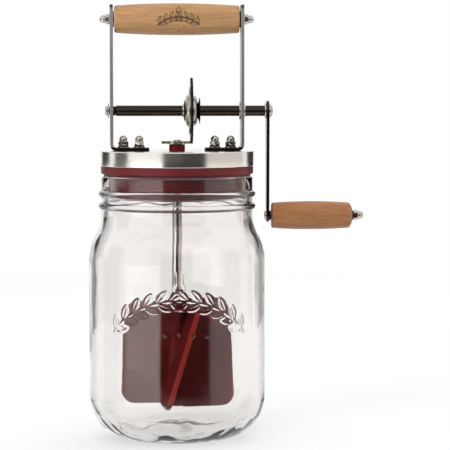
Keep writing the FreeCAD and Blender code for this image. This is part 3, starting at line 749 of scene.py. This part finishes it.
# %% Spin the jar
rows = int((GARLAND_HIGH - GARLAND_LOW) / GARLAND_ROW)
outside = pushed_up(JAR_R - HEEL_R, 0.0, BASE_PUSH_UP)
outside += arc((JAR_R - HEEL_R, HEEL_R), HEEL_R, -90, 0, 22)
outside += [(JAR_R, 36.0), (JAR_R, 46.0)]
outside += [(JAR_R, GARLAND_LOW + GARLAND_ROW * i) for i in range(rows + 1)]
outside += shoulder(JAR_R, NECK_R)
for bead_drop in BEAD_DROPS:
    outside += bead(JAR_TOP - bead_drop)
outside += arc((NECK_R - 1.2, JAR_TOP - 1.2), 1.2, 0, 90, 5)
inner_r, inner_heel = JAR_R - JAR_WALL, HEEL_R - JAR_FLOOR
inside = arc((BORE_R + 1.0, JAR_TOP - 1.0), 1.0, 90, 180, 4)
inside += shoulder(inner_r, BORE_R)[::-1]
inside += [(inner_r, z) for z in (98.0, 84.0, 70.0, 56.0, 42.0, 33.0)]
inside += arc((inner_r - inner_heel, HEEL_R), inner_heel, 0, -90, 22)
inside += pushed_up(inner_r - inner_heel, JAR_FLOOR, FLOOR_PUSH_UP)[::-1]
jar = lathe("glass_jar_shell", outside + inside, steps=110, front=(62, 240))
print("jar:", len(jar.data.vertices), "points")

# %% Raise the garland and make the inside uneven
JAR_GARLAND = make_garland(radius=56.0, half_angle=50.0, pairs=6, length=10.5, width=4.8, line=0.7)
GARLAND_TOP_Z = 88.5
EMBOSS = 0.55
WAVE, FLOOR_WAVE, WAVE_SIZE = 0.2, 0.9, 17.0
RIPPLE, RIPPLE_SIZE = 0.3, 6.5

for point in jar.data.vertices:
    at = point.co / MM
    radius = math.hypot(at.x, at.y)
    outward = Vector((at.x, at.y, 0)) / max(radius, 0.001)
    if GARLAND_LOW < at.z < GARLAND_HIGH and at.y < 0 and radius > JAR_R - 0.1:
        around = math.atan2(at.x, -at.y) * JAR_R
        point.co += outward * on_garland(JAR_GARLAND, around, at.z - GARLAND_TOP_Z, True) * EMBOSS * MM
    elif radius < inner_r + 0.1 and JAR_FLOOR - 0.1 < at.z < NECK_Z:
        level = min(1.0, max(0.0, (at.z - JAR_FLOOR) / 60.0))
        bulge = noise.noise(at / WAVE_SIZE)
        point.co += outward * bulge * WAVE * MM
        swell = noise.noise(at / WAVE_SIZE + Vector((7, 3, 1))) * FLOOR_WAVE
        ripple = noise.noise(at / RIPPLE_SIZE) * RIPPLE
        point.co.z += (swell + ripple) * (1 - level) ** 2 * MM
jar.visible_shadow = False      # clear glass lets the lamps through, so its shadow is left out
fit(jar, "clear_glass", "glass_jar")

# %% [markdown]
# ## The lid
#
# The cap is a drawn steel cup with a rolled lip. Under it sits one silicone piece: a band that shows
# below the cap, a narrower ring on the jar's rim, and a ribbed plug inside the neck. Ribs are what
# seal on a real plug, and through the glass they show as fine level lines.

# %% Cap
cap_low, cap_high = box_mm("lid_cap")
CAP_T = 1.2
BOLT_XS = (-32.8, -23.1, 23.1, 32.8)
BUSH_SLEEVE_R = 3.95
BOLT_HOLE_R, ROD_HOLE_R = 1.55, 1.6
CAP_DRILL_DEPTH = 6.0
LIP = 0.5               # how far the rolled lip stands in from the skirt's inside
LIP_HEIGHT, LIP_TOP = 1.0, 1.4

cap_r = cap_high.x
cap_section = [(BUSH_SLEEVE_R + 0.1, cap_high.z), (cap_r, cap_high.z), (cap_r, cap_low.z),
               (cap_r - CAP_T - LIP, cap_low.z), (cap_r - CAP_T - LIP, cap_low.z + LIP_HEIGHT),
               (cap_r - CAP_T, cap_low.z + LIP_TOP), (cap_r - CAP_T, cap_high.z - CAP_T),
               (BUSH_SLEEVE_R + 0.1, cap_high.z - CAP_T)]
cap = lathe("steel_cap", soften(cap_section, 0.55, count=5), steps=180)
for bolt_x in BOLT_XS:
    drill(cap, BOLT_HOLE_R, "Z", (bolt_x, 0, cap_high.z), CAP_DRILL_DEPTH)
fit(settle(cap), "brushed_lid_steel", "lid_cap")

# %% Seal and bush
seal_low, seal_high = box_mm("lid_seal")
PLUG_R, PLUG_TIP_R, PLUG_TIP_HEIGHT = 42.4, 34.0, 5.0
RING_R, RING_TOP = 45.0, JAR_TOP + 1.4
SPIGOT_R = 45.0
RIB_DEPTH, RIB_COUNT = 0.25, 5
plug_straight = JAR_TOP - seal_low.z - PLUG_TIP_HEIGHT


def ribs():
    """The plug's wavy wall, from its tapered end up to the jar's rim."""
    low = seal_low.z + PLUG_TIP_HEIGHT
    steps = RIB_COUNT * 8
    for i in range(steps + 1):
        wave = math.cos(math.tau * RIB_COUNT * i / steps)
        yield PLUG_R - RIB_DEPTH * (1 - wave) / 2, low + plug_straight * i / steps


tip = arc((PLUG_TIP_R, seal_low.z + PLUG_TIP_HEIGHT), 1.0, -90, 0, 6)
tip = [(PLUG_TIP_R + (r - PLUG_TIP_R) * (PLUG_R - PLUG_TIP_R),
        seal_low.z + PLUG_TIP_HEIGHT + (z - seal_low.z - PLUG_TIP_HEIGHT) * PLUG_TIP_HEIGHT) for r, z in tip]
band_top = cap_low.z - 0.02
upper = soften([(PLUG_R, JAR_TOP + 0.02), (RING_R, JAR_TOP + 0.02), (RING_R, RING_TOP),
                (seal_high.x, RING_TOP), (seal_high.x, band_top), (SPIGOT_R - 1.5, band_top),
                (SPIGOT_R - 1.5, seal_high.z), (BUSH_SLEEVE_R + 0.05, seal_high.z)], 0.5, closed=False)
seal_section = [(BUSH_SLEEVE_R + 0.05, seal_low.z)] + tip + list(ribs())[1:] + upper
seal = lathe("silicone_seal", seal_section + seal_section[:1], steps=160)
fit(seal, "burgundy_silicone", "lid_seal")

bush_low, bush_high = box_mm("shaft_bush")
BUSH_BORE_R = 3.07
bush_section = [(BUSH_BORE_R, bush_low.z), (BUSH_SLEEVE_R, bush_low.z), (BUSH_SLEEVE_R, cap_high.z + 0.02),
                (bush_high.x, cap_high.z + 0.02), (bush_high.x, bush_high.z), (BUSH_BORE_R, bush_high.z)]
bush = lathe("shaft_bush_turned", soften(bush_section, 0.5), steps=64)
fit(bush, "burgundy_plastic", "shaft_bush")

# %% [markdown]
# ## The two straps
#
# Each strap is a strip of steel bent once: the foot is bolted to the cap and the upright carries the
# shaft and the grip. The strip is drawn from the side, bend and all, and pulled to its width. The
# corners are then rounded as a punch leaves them, and the holes drilled.

# %% Straps
strap_low, strap_high = box_mm("right_strap")
STRAP_T, BEND_R, CORNER_R = 2.0, 4.0, 5.5
RIGHT_HOLE_R, LEFT_HOLE_R = 4.35, 2.95      # round the bearings' sleeves
SHAFT_Z = (box_mm("crank_shaft")[0].z + box_mm("crank_shaft")[1].z) / 2
GRIP_Z = (box_mm("carry_grip")[0].z + box_mm("carry_grip")[1].z) / 2


def is_corner(edge, side):
    """True for the four short edges at the ends of a strap."""
    ends = [v.co / MM for v in edge.verts]
    if abs(ends[0].y - ends[1].y) > 0.01 or abs(abs(ends[0].y) - strap_high.y) > 0.01:
        return False
    at_top = all(e.z > strap_high.z - 0.01 for e in ends)
    at_foot = all(e.x * side < strap_low.x + 0.01 for e in ends)
    return at_top or at_foot


def make_strap(name, side, shaft_hole_r):
    """A bent strip: foot, bend and upright. Side is 1 for the right and -1 for the left."""
    out, low, top = strap_high.x, strap_low.z, strap_high.z
    section = [(strap_low.x, low)] + arc((out - BEND_R, low + BEND_R), BEND_R, -90, 0, 10) + [(out, top)]
    section += [(out - STRAP_T, top)]
    section += arc((out - BEND_R, low + BEND_R), BEND_R - STRAP_T, 0, -90, 10)
    section += [(strap_low.x, low + STRAP_T)]
    strap = plate(name, [(x * side, z) for x, z in section], "Y", strap_low.y, strap_high.y)
    only(strap)
    bpy.ops.object.mode_set(mode="EDIT")
    bpy.ops.mesh.select_all(action="DESELECT")
    mesh = bmesh.from_edit_mesh(strap.data)
    for edge in mesh.edges:
        edge.select_set(is_corner(edge, side))
    bmesh.update_edit_mesh(strap.data)
    bpy.ops.mesh.bevel(offset=CORNER_R * MM, segments=10, affect="EDGES")
    drill(strap, shaft_hole_r, "X", ((out - 1) * side, 0, SHAFT_Z))
    drill(strap, ROD_HOLE_R, "X", ((out - 1) * side, 0, GRIP_Z))
    for bolt_x in BOLT_XS[2:]:
        drill(strap, BOLT_HOLE_R, "Z", (bolt_x * side, 0, low + 1))
    return ease(strap, 0.28)


fit(make_strap("right_strap_strip", 1, RIGHT_HOLE_R), "strap_steel", "right_strap")
fit(make_strap("left_strap_strip", -1, LEFT_HOLE_R), "strap_steel", "left_strap")

# %% [markdown]
# ## Fasteners
#
# The domed nuts are all alike, so one is modelled at the origin and copied. A domed nut starts as a
# six-sided bar. Its corners are turned down to a cone at both ends, which gives the curved chamfers
# of a real nut, and its dome is turned separately and joined on.

# %% Domed nut
ACROSS_FLATS, HEX_HEIGHT, DOME_R = 5.5, 2.6, 2.5
NUT_HEIGHT = 6.2


def make_nut():
    """A domed nut that stands on the origin and points up."""
    corner_r = ACROSS_FLATS / math.sqrt(3)
    deselect()
    middle, turn = (0, 0, HEX_HEIGHT / 2 * MM), (0, 0, math.radians(30))
    bpy.ops.mesh.primitive_cylinder_add(vertices=6, radius=corner_r * MM, depth=HEX_HEIGHT * MM,
                                        location=middle, rotation=turn)
    nut = settle(named("domed_nut"))
    turned = [(0, 0.01), (2.7, 0.01), (corner_r + 0.05, 0.35), (corner_r + 0.05, HEX_HEIGHT - 0.5),
              (DOME_R + 0.05, HEX_HEIGHT + 0.1), (0, HEX_HEIGHT + 0.1)]
    combine(nut, lathe("turned", turned, steps=60), "INTERSECT")
    straight = NUT_HEIGHT - DOME_R
    neck = [(0, HEX_HEIGHT - 0.4), (DOME_R - 0.25, HEX_HEIGHT - 0.4), (DOME_R - 0.25, HEX_HEIGHT + 0.1),
            (DOME_R, HEX_HEIGHT + 0.35), (DOME_R, straight)]
    dome = lathe("dome", neck + arc((0, straight), DOME_R, 0, 90, 12)[1:], steps=48)
    return ease(joined("domed_nut", [nut, dome]), 0.08)


nut = make_nut()
stack = box_mm("foot_acorn_nuts")[0].z
foot_nuts = joined("foot_domed_nuts", [copy_of(nut, (0, 0, 11 + 17 * i), (x, 0, stack))
                                       for i, x in enumerate(BOLT_XS)])
fit(foot_nuts, "polished_steel", "foot_acorn_nuts")
grip_nuts = joined("grip_domed_nuts", [copy_of(nut, (0, 90 * side, 0), (strap_high.x * side, 0, GRIP_Z))
                                       for side in (1, -1)])
fit(grip_nuts, "polished_steel", "grip_acorn_nuts")
crank_nut_low, crank_nut_high = box_mm("crank_acorn_nut")
HANDLE_Z = (crank_nut_low.z + crank_nut_high.z) / 2
crank_nut = copy_of(nut, (0, 90, 0), (crank_nut_low.x, 0, HANDLE_Z))
crank_nut.name = crank_nut.data.name = "crank_domed_nut"
fit(crank_nut, "polished_steel", "crank_acorn_nut")
bpy.data.objects.remove(nut)

# %% Plain washers and rings
# Each row is a node, its bore radius, how far its edges are rounded, and its finish.
RINGS = (
    ("shaft_end_washer", 2.33, 0.25, "polished_steel"),
    ("left_bearing", 2.35, 0.3, "dark_steel"),
    ("gear_backing_disc", 3.3, 0.2, "gear_steel"),
    ("left_hub_flange", 3.3, 0.2, "dark_steel"),
    ("hub_collar", 3.3, 0.25, "pale_steel"),
    ("arm_washer", 2.33, 0.25, "pale_steel"),
    ("spindle_collar", 2.03, 0.3, "dark_steel"),
    ("crank_end_washer", 1.53, 0.15, "dark_steel"),
)


def ring_of(node, bore_r, rounding):
    """A ring that fills its node's box, about a line along X."""
    low, high = box_mm(node)
    section = ring_outline((high.z - low.z) / 2, bore_r, low.x, high.x)
    return lathe(node + "_turned", soften(section, rounding), "X", (low.z + high.z) / 2, 72)


for node, bore_r, rounding, finish in RINGS:
    fit(ring_of(node, bore_r, rounding), finish, node)

washer_low, washer_high = box_mm("foot_washers")
WASHER_R = washer_high.y
washer = lathe("foot_washer", soften(ring_outline(WASHER_R, 1.53, washer_low.z, washer_high.z), 0.18),
               steps=48)
foot_washers = joined("foot_washers_turned", [copy_of(washer, move=(x, 0, 0)) for x in BOLT_XS])
fit(foot_washers, "polished_steel", "foot_washers")
bpy.data.objects.remove(washer)

end_low, end_high = box_mm("grip_end_washers")
END_WASHER_T = 0.55
end_section = soften(ring_outline(end_high.y, 2.03, end_high.x - END_WASHER_T, end_high.x), 0.15)
end_washer = lathe("grip_end_washer", end_section, "X", GRIP_Z, 48)
end_washers = joined("grip_end_washers_turned", [end_washer, copy_of(end_washer, (0, 0, 180))])
fit(end_washers, "black_plastic", "grip_end_washers")

# %% Flanged right bearing
bearing_low, bearing_high = box_mm("right_bearing")
FLANGE_R, FLANGE_T, SLEEVE_R, BEARING_BORE_R = bearing_high.y, 1.0, 4.3, 3.3
bearing_section = [(BEARING_BORE_R, bearing_low.x), (FLANGE_R, bearing_low.x),
                   (FLANGE_R, bearing_low.x + FLANGE_T), (SLEEVE_R, bearing_low.x + FLANGE_T),
                   (SLEEVE_R, bearing_high.x), (BEARING_BORE_R, bearing_high.x)]
fit(lathe("right_bearing_turned", soften(bearing_section, 0.3), "X", SHAFT_Z, 72), "pale_steel",
    "right_bearing")

# %% [markdown]
# ## The gearing
#
# Both gears are stamped from plate. A tooth is four corners on two circles, so a short loop draws a
# whole gear, and the plate is then pulled to its thickness, drilled and deburred. The domed discs and
# flanges beside the gear are turned.

# %% Gears


def gear_outline(teeth, root_r, tip_r, root_width, tip_width, first_deg):
    """Straight-sided teeth round a circle, with the first one centred at an angle."""
    root_half, tip_half = math.asin(root_width / 2 / root_r), math.asin(tip_width / 2 / tip_r)
    points = []
    for i in range(teeth):
        middle = math.radians(first_deg) + math.tau * i / teeth
        gap = math.pi / teeth
        for radius, turn in ((root_r, -root_half), (tip_r, -tip_half), (tip_r, 0.0), (tip_r, tip_half),
                             (root_r, root_half), (root_r, gap)):
            points.append((radius * math.cos(middle + turn), radius * math.sin(middle + turn)))
    return points


gear_low, gear_high = box_mm("drive_gear")
GEAR_TEETH, GEAR_ROOT_R, GEAR_TIP_R, GEAR_BORE_R = 26, 17.58, 20.23, 3.3
gear_drawing = gear_outline(GEAR_TEETH, GEAR_ROOT_R, GEAR_TIP_R, 2.0, 1.3, -90)
gear = plate("drive_gear_stamped", [(y, z + SHAFT_Z) for y, z in gear_drawing], "X", gear_low.x, gear_high.x)
drill(gear, GEAR_BORE_R, "X", (gear_low.x, 0, SHAFT_Z))
fit(ease(gear, 0.16), "dark_steel", "drive_gear")

pinion_low, pinion_high = box_mm("pinion_gear")
PINION_TEETH, PINION_ROOT_R, PINION_TIP_R, PINION_BORE_R = 12, 7.3, 9.75, 1.83
pinion_drawing = gear_outline(PINION_TEETH, PINION_ROOT_R, PINION_TIP_R, 2.2, 1.4, 15)
pinion = plate("pinion_stamped", pinion_drawing, "Z", pinion_low.z, pinion_high.z)
drill(pinion, PINION_BORE_R, "Z", (0, 0, pinion_low.z))
fit(ease(pinion, 0.2), "gear_steel", "pinion_gear")

# %% Domed discs and the flared flange
HUB_BORE_R = 3.28


def dome_section(flat_x, flat_r, rim_x, rim_r, count=10):
    """Half of a domed disc: a flat middle that curves out to its rim."""
    width = rim_x - flat_x
    curve = [(flat_r + (rim_r - flat_r) * math.sin(math.pi / 2 * i / count),
              rim_x - width * math.cos(math.pi / 2 * i / count)) for i in range(count + 1)]
    return [(HUB_BORE_R, flat_x)] + curve + [(HUB_BORE_R, rim_x), (HUB_BORE_R, flat_x)]


# Each row is a dome, the radius of its flat middle, and 1 if that middle is at its low end.
for node, flat_r, side in (("left_hub_dome", 6.1, 1), ("right_hub_dome", 7.0, -1)):
    low, high = box_mm(node)
    flat_x, rim_x = (low.x, high.x)[::side]
    dome = lathe(node + "_pressed", dome_section(flat_x, flat_r, rim_x, high.y), "X", SHAFT_Z, 96)
    fit(dome, "gear_steel", node)

FLARE_FOOT_R, FLARE_RUN, FLARE_STEPS = 4.6, 1.4, 6
low, high = box_mm("right_hub_flange")
flare = [(FLARE_FOOT_R + (high.y - FLARE_FOOT_R) * (i / FLARE_STEPS) ** 2,
          low.x + FLARE_RUN * i / FLARE_STEPS) for i in range(FLARE_STEPS + 1)]
flare_section = [(HUB_BORE_R, low.x)] + flare + [(high.y, high.x), (HUB_BORE_R, high.x), (HUB_BORE_R, low.x)]
fit(lathe("right_hub_flange_turned", flare_section, "X", SHAFT_Z, 96), "dark_steel", "right_hub_flange")

# %% [markdown]
# ## Shafts, crank and cap
#
# The crank shaft is a bar with a thinner journal at each end, headed over outside the left strap. The
# arm is a flat bar with round ends, drawn as two arcs joined by their tangents. Its end cap and the
# upright shaft are turned.

# %% Crank shaft
shaft_low, shaft_high = box_mm("crank_shaft")
SHAFT_R, JOURNAL_R, HEAD_R = 3.25, 2.3, 2.9
HEAD_END = -42.3
BODY_LEFT, BODY_RIGHT = -37.3, 53.6
head_section = [(0, shaft_low.x), (HEAD_R, shaft_low.x), (HEAD_R, HEAD_END), (0, HEAD_END)]
fit(lathe("crank_shaft_head", soften(head_section, 0.6, closed=False, count=4), "X", SHAFT_Z, 48),
    "polished_steel", "crank_shaft")
shaft_section = [(0, HEAD_END + 0.01), (JOURNAL_R, HEAD_END + 0.01), (JOURNAL_R, BODY_LEFT),
                 (SHAFT_R, BODY_LEFT), (SHAFT_R, BODY_RIGHT), (JOURNAL_R, BODY_RIGHT),
                 (JOURNAL_R, shaft_high.x), (0, shaft_high.x)]
fit(lathe("crank_shaft_turned", soften(shaft_section, 0.45, closed=False, count=4), "X", SHAFT_Z, 64),
    "dark_polished_steel", "crank_shaft")

# %% Crank arm and its cap
arm_low, arm_high = box_mm("crank_arm")
ARM_TOP_R, ARM_FOOT_R = 6.1, 4.0
ARM_SHAFT_HOLE_R, ARM_SPINDLE_HOLE_R = 2.33, 2.03
lean = math.degrees(math.asin((ARM_TOP_R - ARM_FOOT_R) / (SHAFT_Z - HANDLE_Z)))
arm_drawing = arc((0, SHAFT_Z), ARM_TOP_R, lean, 180 - lean, 20)
arm_drawing += arc((0, HANDLE_Z), ARM_FOOT_R, 180 - lean, 360 + lean, 20)
arm = plate("crank_arm_bar", arm_drawing, "X", arm_low.x, arm_high.x)
drill(arm, ARM_SHAFT_HOLE_R, "X", (arm_low.x, 0, SHAFT_Z))
drill(arm, ARM_SPINDLE_HOLE_R, "X", (arm_low.x, 0, HANDLE_Z))
fit(ease(arm, 0.3, 3), "dark_polished_steel", "crank_arm")

cap_left, cap_right = box_mm("arm_cap")
CAP_RIM, CAP_STEPS = 0.5, 12        # the straight rim under the dome
dome_width = cap_right.x - cap_left.x - CAP_RIM
turns = [math.pi / 2 * i / CAP_STEPS for i in range(CAP_STEPS + 1)]
cap_outline = [(0, cap_left.x), (cap_right.y, cap_left.x)]
cap_outline += [(cap_right.y * math.cos(t), cap_left.x + CAP_RIM + dome_width * math.sin(t)) for t in turns]
fit(lathe("arm_cap_turned", cap_outline, "X", SHAFT_Z, 64), "polished_steel", "arm_cap")

# %% Upright shaft
spindle_low, spindle_high = box_mm("paddle_shaft")
SPINDLE_R, SPINDLE_TOP_R, RIVET_R, RIVET_T = 3.0, 1.8, 2.8, 0.8
rivet_z = pinion_high.z
spindle_section = [(0, spindle_low.z), (SPINDLE_R, spindle_low.z), (SPINDLE_R, pinion_low.z),
                   (SPINDLE_TOP_R, pinion_low.z), (SPINDLE_TOP_R, rivet_z), (RIVET_R, rivet_z),
                   (RIVET_R * 0.75, rivet_z + RIVET_T), (0, rivet_z + RIVET_T)]
fit(lathe("upright_shaft", soften(spindle_section, 0.3, closed=False), steps=48), "polished_steel",
    "paddle_shaft")

# %% [markdown]
# ## The wooden grips
#
# Both grips are turned barrels, a little fatter in the middle. The front of the carrying grip is spun
# in finer steps, so that the burnt sprig can be pressed into the wood point by point. The same value
# that presses a point in is stored on the mesh as "burnt", which the finish reads.

# %% Carrying grip
grip_low, grip_high = box_mm("carry_grip")
GRIP_MID_R, GRIP_END_R, ROD_BORE_R = grip_high.y, 8.3, 2.05
MARK_HALF_WIDTH, MARK_ROW = 17.0, 0.25
MARK_DEPTH, MARK_UP, MARK_SHIFT = 0.12, 1.2, 1.0


def barrel(left, right, middle_r, end_r, cuts):
    """A barrel's outline at chosen places along X: a shallow arc, highest in the middle."""
    half = (right - left) / 2
    return [(middle_r - (middle_r - end_r) * ((x - left - half) / half) ** 2, x) for x in cuts]


def evenly(low, high, count):
    """Count + 1 places from low to high."""
    return [low + (high - low) * i / count for i in range(count + 1)]


mark_cuts = evenly(-MARK_HALF_WIDTH, MARK_HALF_WIDTH, int(2 * MARK_HALF_WIDTH / MARK_ROW))
cuts = evenly(grip_low.x + 1.0, -MARK_HALF_WIDTH - 1, 12) + mark_cuts
cuts += evenly(MARK_HALF_WIDTH + 1, grip_high.x - 1.0, 12)
skin = barrel(grip_low.x, grip_high.x, GRIP_MID_R, GRIP_END_R, cuts)
left_round = arc((grip_low.x + 1.0, GRIP_END_R - 0.95), 1.0, 180, 100, 5)
right_round = arc((grip_high.x - 1.0, GRIP_END_R - 0.95), 1.0, 80, 0, 5)
grip_section = [(ROD_BORE_R, grip_low.x)] + [(r, x) for x, r in left_round] + skin
grip_section += [(r, x) for x, r in right_round] + [(ROD_BORE_R, grip_high.x), (ROD_BORE_R, grip_low.x)]
carry = lathe("carrying_grip_turned", grip_section, "X", GRIP_Z, steps=44, front=(46, 90))

GRIP_GARLAND = make_garland(radius=18.0, half_angle=46.0, pairs=4, length=5.4, width=2.5, line=0.5)
burnt = carry.data.attributes.new("burnt", "FLOAT", "POINT")
for point in carry.data.vertices:
    at = point.co / MM - Vector((0, 0, GRIP_Z))
    radius = math.hypot(at.y, at.z)
    if abs(at.x) < MARK_HALF_WIDTH and at.y < 0 and radius > GRIP_END_R:
        around = math.atan2(at.z, -at.y) * radius
        strength = on_garland(GRIP_GARLAND, at.x - MARK_SHIFT, around - MARK_UP, False)
        burnt.data[point.index].value = strength
        point.co -= Vector((0, at.y, at.z)) / radius * strength * MARK_DEPTH * MM
fit(carry, "pale_beech", "carry_grip")

# %% Crank grip
handle_low, handle_high = box_mm("crank_grip")
NOSE_LENGTH, NOSE_R, HANDLE_END_R = 1.9, 4.0, 7.75
nose_x = handle_high.x - NOSE_LENGTH
handle_cuts = evenly(handle_low.x + 1.0, nose_x, 36)
handle_skin = barrel(handle_low.x, nose_x, handle_high.y, HANDLE_END_R, handle_cuts)
handle_round = arc((handle_low.x + 1.0, HANDLE_END_R - 0.9), 1.0, 180, 100, 5)
nose = soften([handle_skin[-1], (NOSE_R + 1.6, handle_high.x - 0.5), (NOSE_R, handle_high.x)], 0.8, False, 4)
handle_section = [(ROD_BORE_R, handle_low.x)] + [(r, x) for x, r in handle_round] + handle_skin
handle_section += nose[1:] + [(ROD_BORE_R, handle_high.x), (ROD_BORE_R, handle_low.x)]
fit(lathe("crank_grip_turned", handle_section, "X", HANDLE_Z, 72), "warm_beech", "crank_grip")

# %% [markdown]
# ## The paddle
#
# The paddle is one moulding: four leaning blades on a hub. One blade is drawn, pulled to its
# thickness, leaned over and copied round the hub. Its outer edge carries the fine raised line that
# the two halves of a mould leave.

# %% Paddle
paddle_low, paddle_high = box_mm("paddle")
BLADE_R, BLADE_T, BLADE_LEAN, BLADE_CORNER = 34.0, 3.0, 16.7, 9.0
BLADE_INNER_CORNER = 5.0
PADDLE_TURN = 6.0
HUB_R, HUB_FLOOR, HUB_BORE = 5.6, 3.0, 3.03
PARTING_WIDTH, PARTING_RISE = 0.3, 0.14
paddle_height = paddle_high.z - paddle_low.z
lean_angle = math.radians(BLADE_LEAN)
blade_half = (paddle_height - BLADE_T * math.sin(lean_angle)) / math.cos(lean_angle) / 2


def blade_outline(inset=0.0):
    """A blade towards +X with rounded corners, seen along Y."""
    r, half, corner, inner = BLADE_R - inset, blade_half - inset, BLADE_CORNER, BLADE_INNER_CORNER
    outline = arc((r - corner, -half + corner), corner, -90, 0, 10)
    outline += arc((r - corner, half - corner), corner, 0, 90, 10)
    outline += arc((-1.5 + inner, half - inner), inner, 90, 180, 6)
    outline += arc((-1.5 + inner, -half + inner), inner, 180, 270, 6)
    return outline


def make_blade():
    """One blade with soft edges and a parting line, leaned about its own radius."""
    blade = plate("blade", blade_outline(PARTING_RISE), "Y", -BLADE_T / 2, BLADE_T / 2)
    ease(blade, 0.45, 3)
    line = ease(plate("line", blade_outline(), "Y", -PARTING_WIDTH / 2, PARTING_WIDTH / 2), 0.1)
    combine(blade, line, "UNION")
    only(blade)
    blade.rotation_euler = (-lean_angle, 0, 0)
    blade.location = (0, 0, (paddle_low.z + paddle_high.z) / 2 * MM)
    return settle(blade)


hub = lathe("paddle_moulded", soften([(0, paddle_low.z), (HUB_R, paddle_low.z), (HUB_R, paddle_high.z),
                                      (0, paddle_high.z)], 0.5, closed=False), steps=64)
blade = make_blade()
for i in range(4):
    combine(hub, copy_of(blade, (0, 0, 90 * i + PADDLE_TURN)), "UNION")
bpy.data.objects.remove(blade)
drill(hub, HUB_BORE, "Z", (0, 0, (paddle_low.z + HUB_FLOOR + paddle_high.z + 1) / 2),
      paddle_height - HUB_FLOOR + 1)
fit(settle(hub), "burgundy_plastic", "paddle")

# %% [markdown]
# ## Pieces that keep their engineering shape
#
# The bolts, lock washers, rod, spindle, clip and pin are mostly hidden, and their engineering shape is
# already right. They only need their finish.

# %% Finishes for the kept pieces
KEPT = {"foot_bolts": "polished_steel", "foot_lock_washers": "dark_steel", "grip_rod": "polished_steel",
        "crank_spindle": "polished_steel", "shaft_clip": "gear_steel", "paddle_pin": "polished_steel"}
for node, finish in KEPT.items():
    for slot in frame["nodes"][node].material_slots:
        slot.material = FINISH[finish]
    print(node, "keeps its shape, in", finish)

# %% [markdown]
# ## The end
#
# The finished churn has to be as large as the engineering model. The last step leaves nothing selected.

# %% The end
deselect()
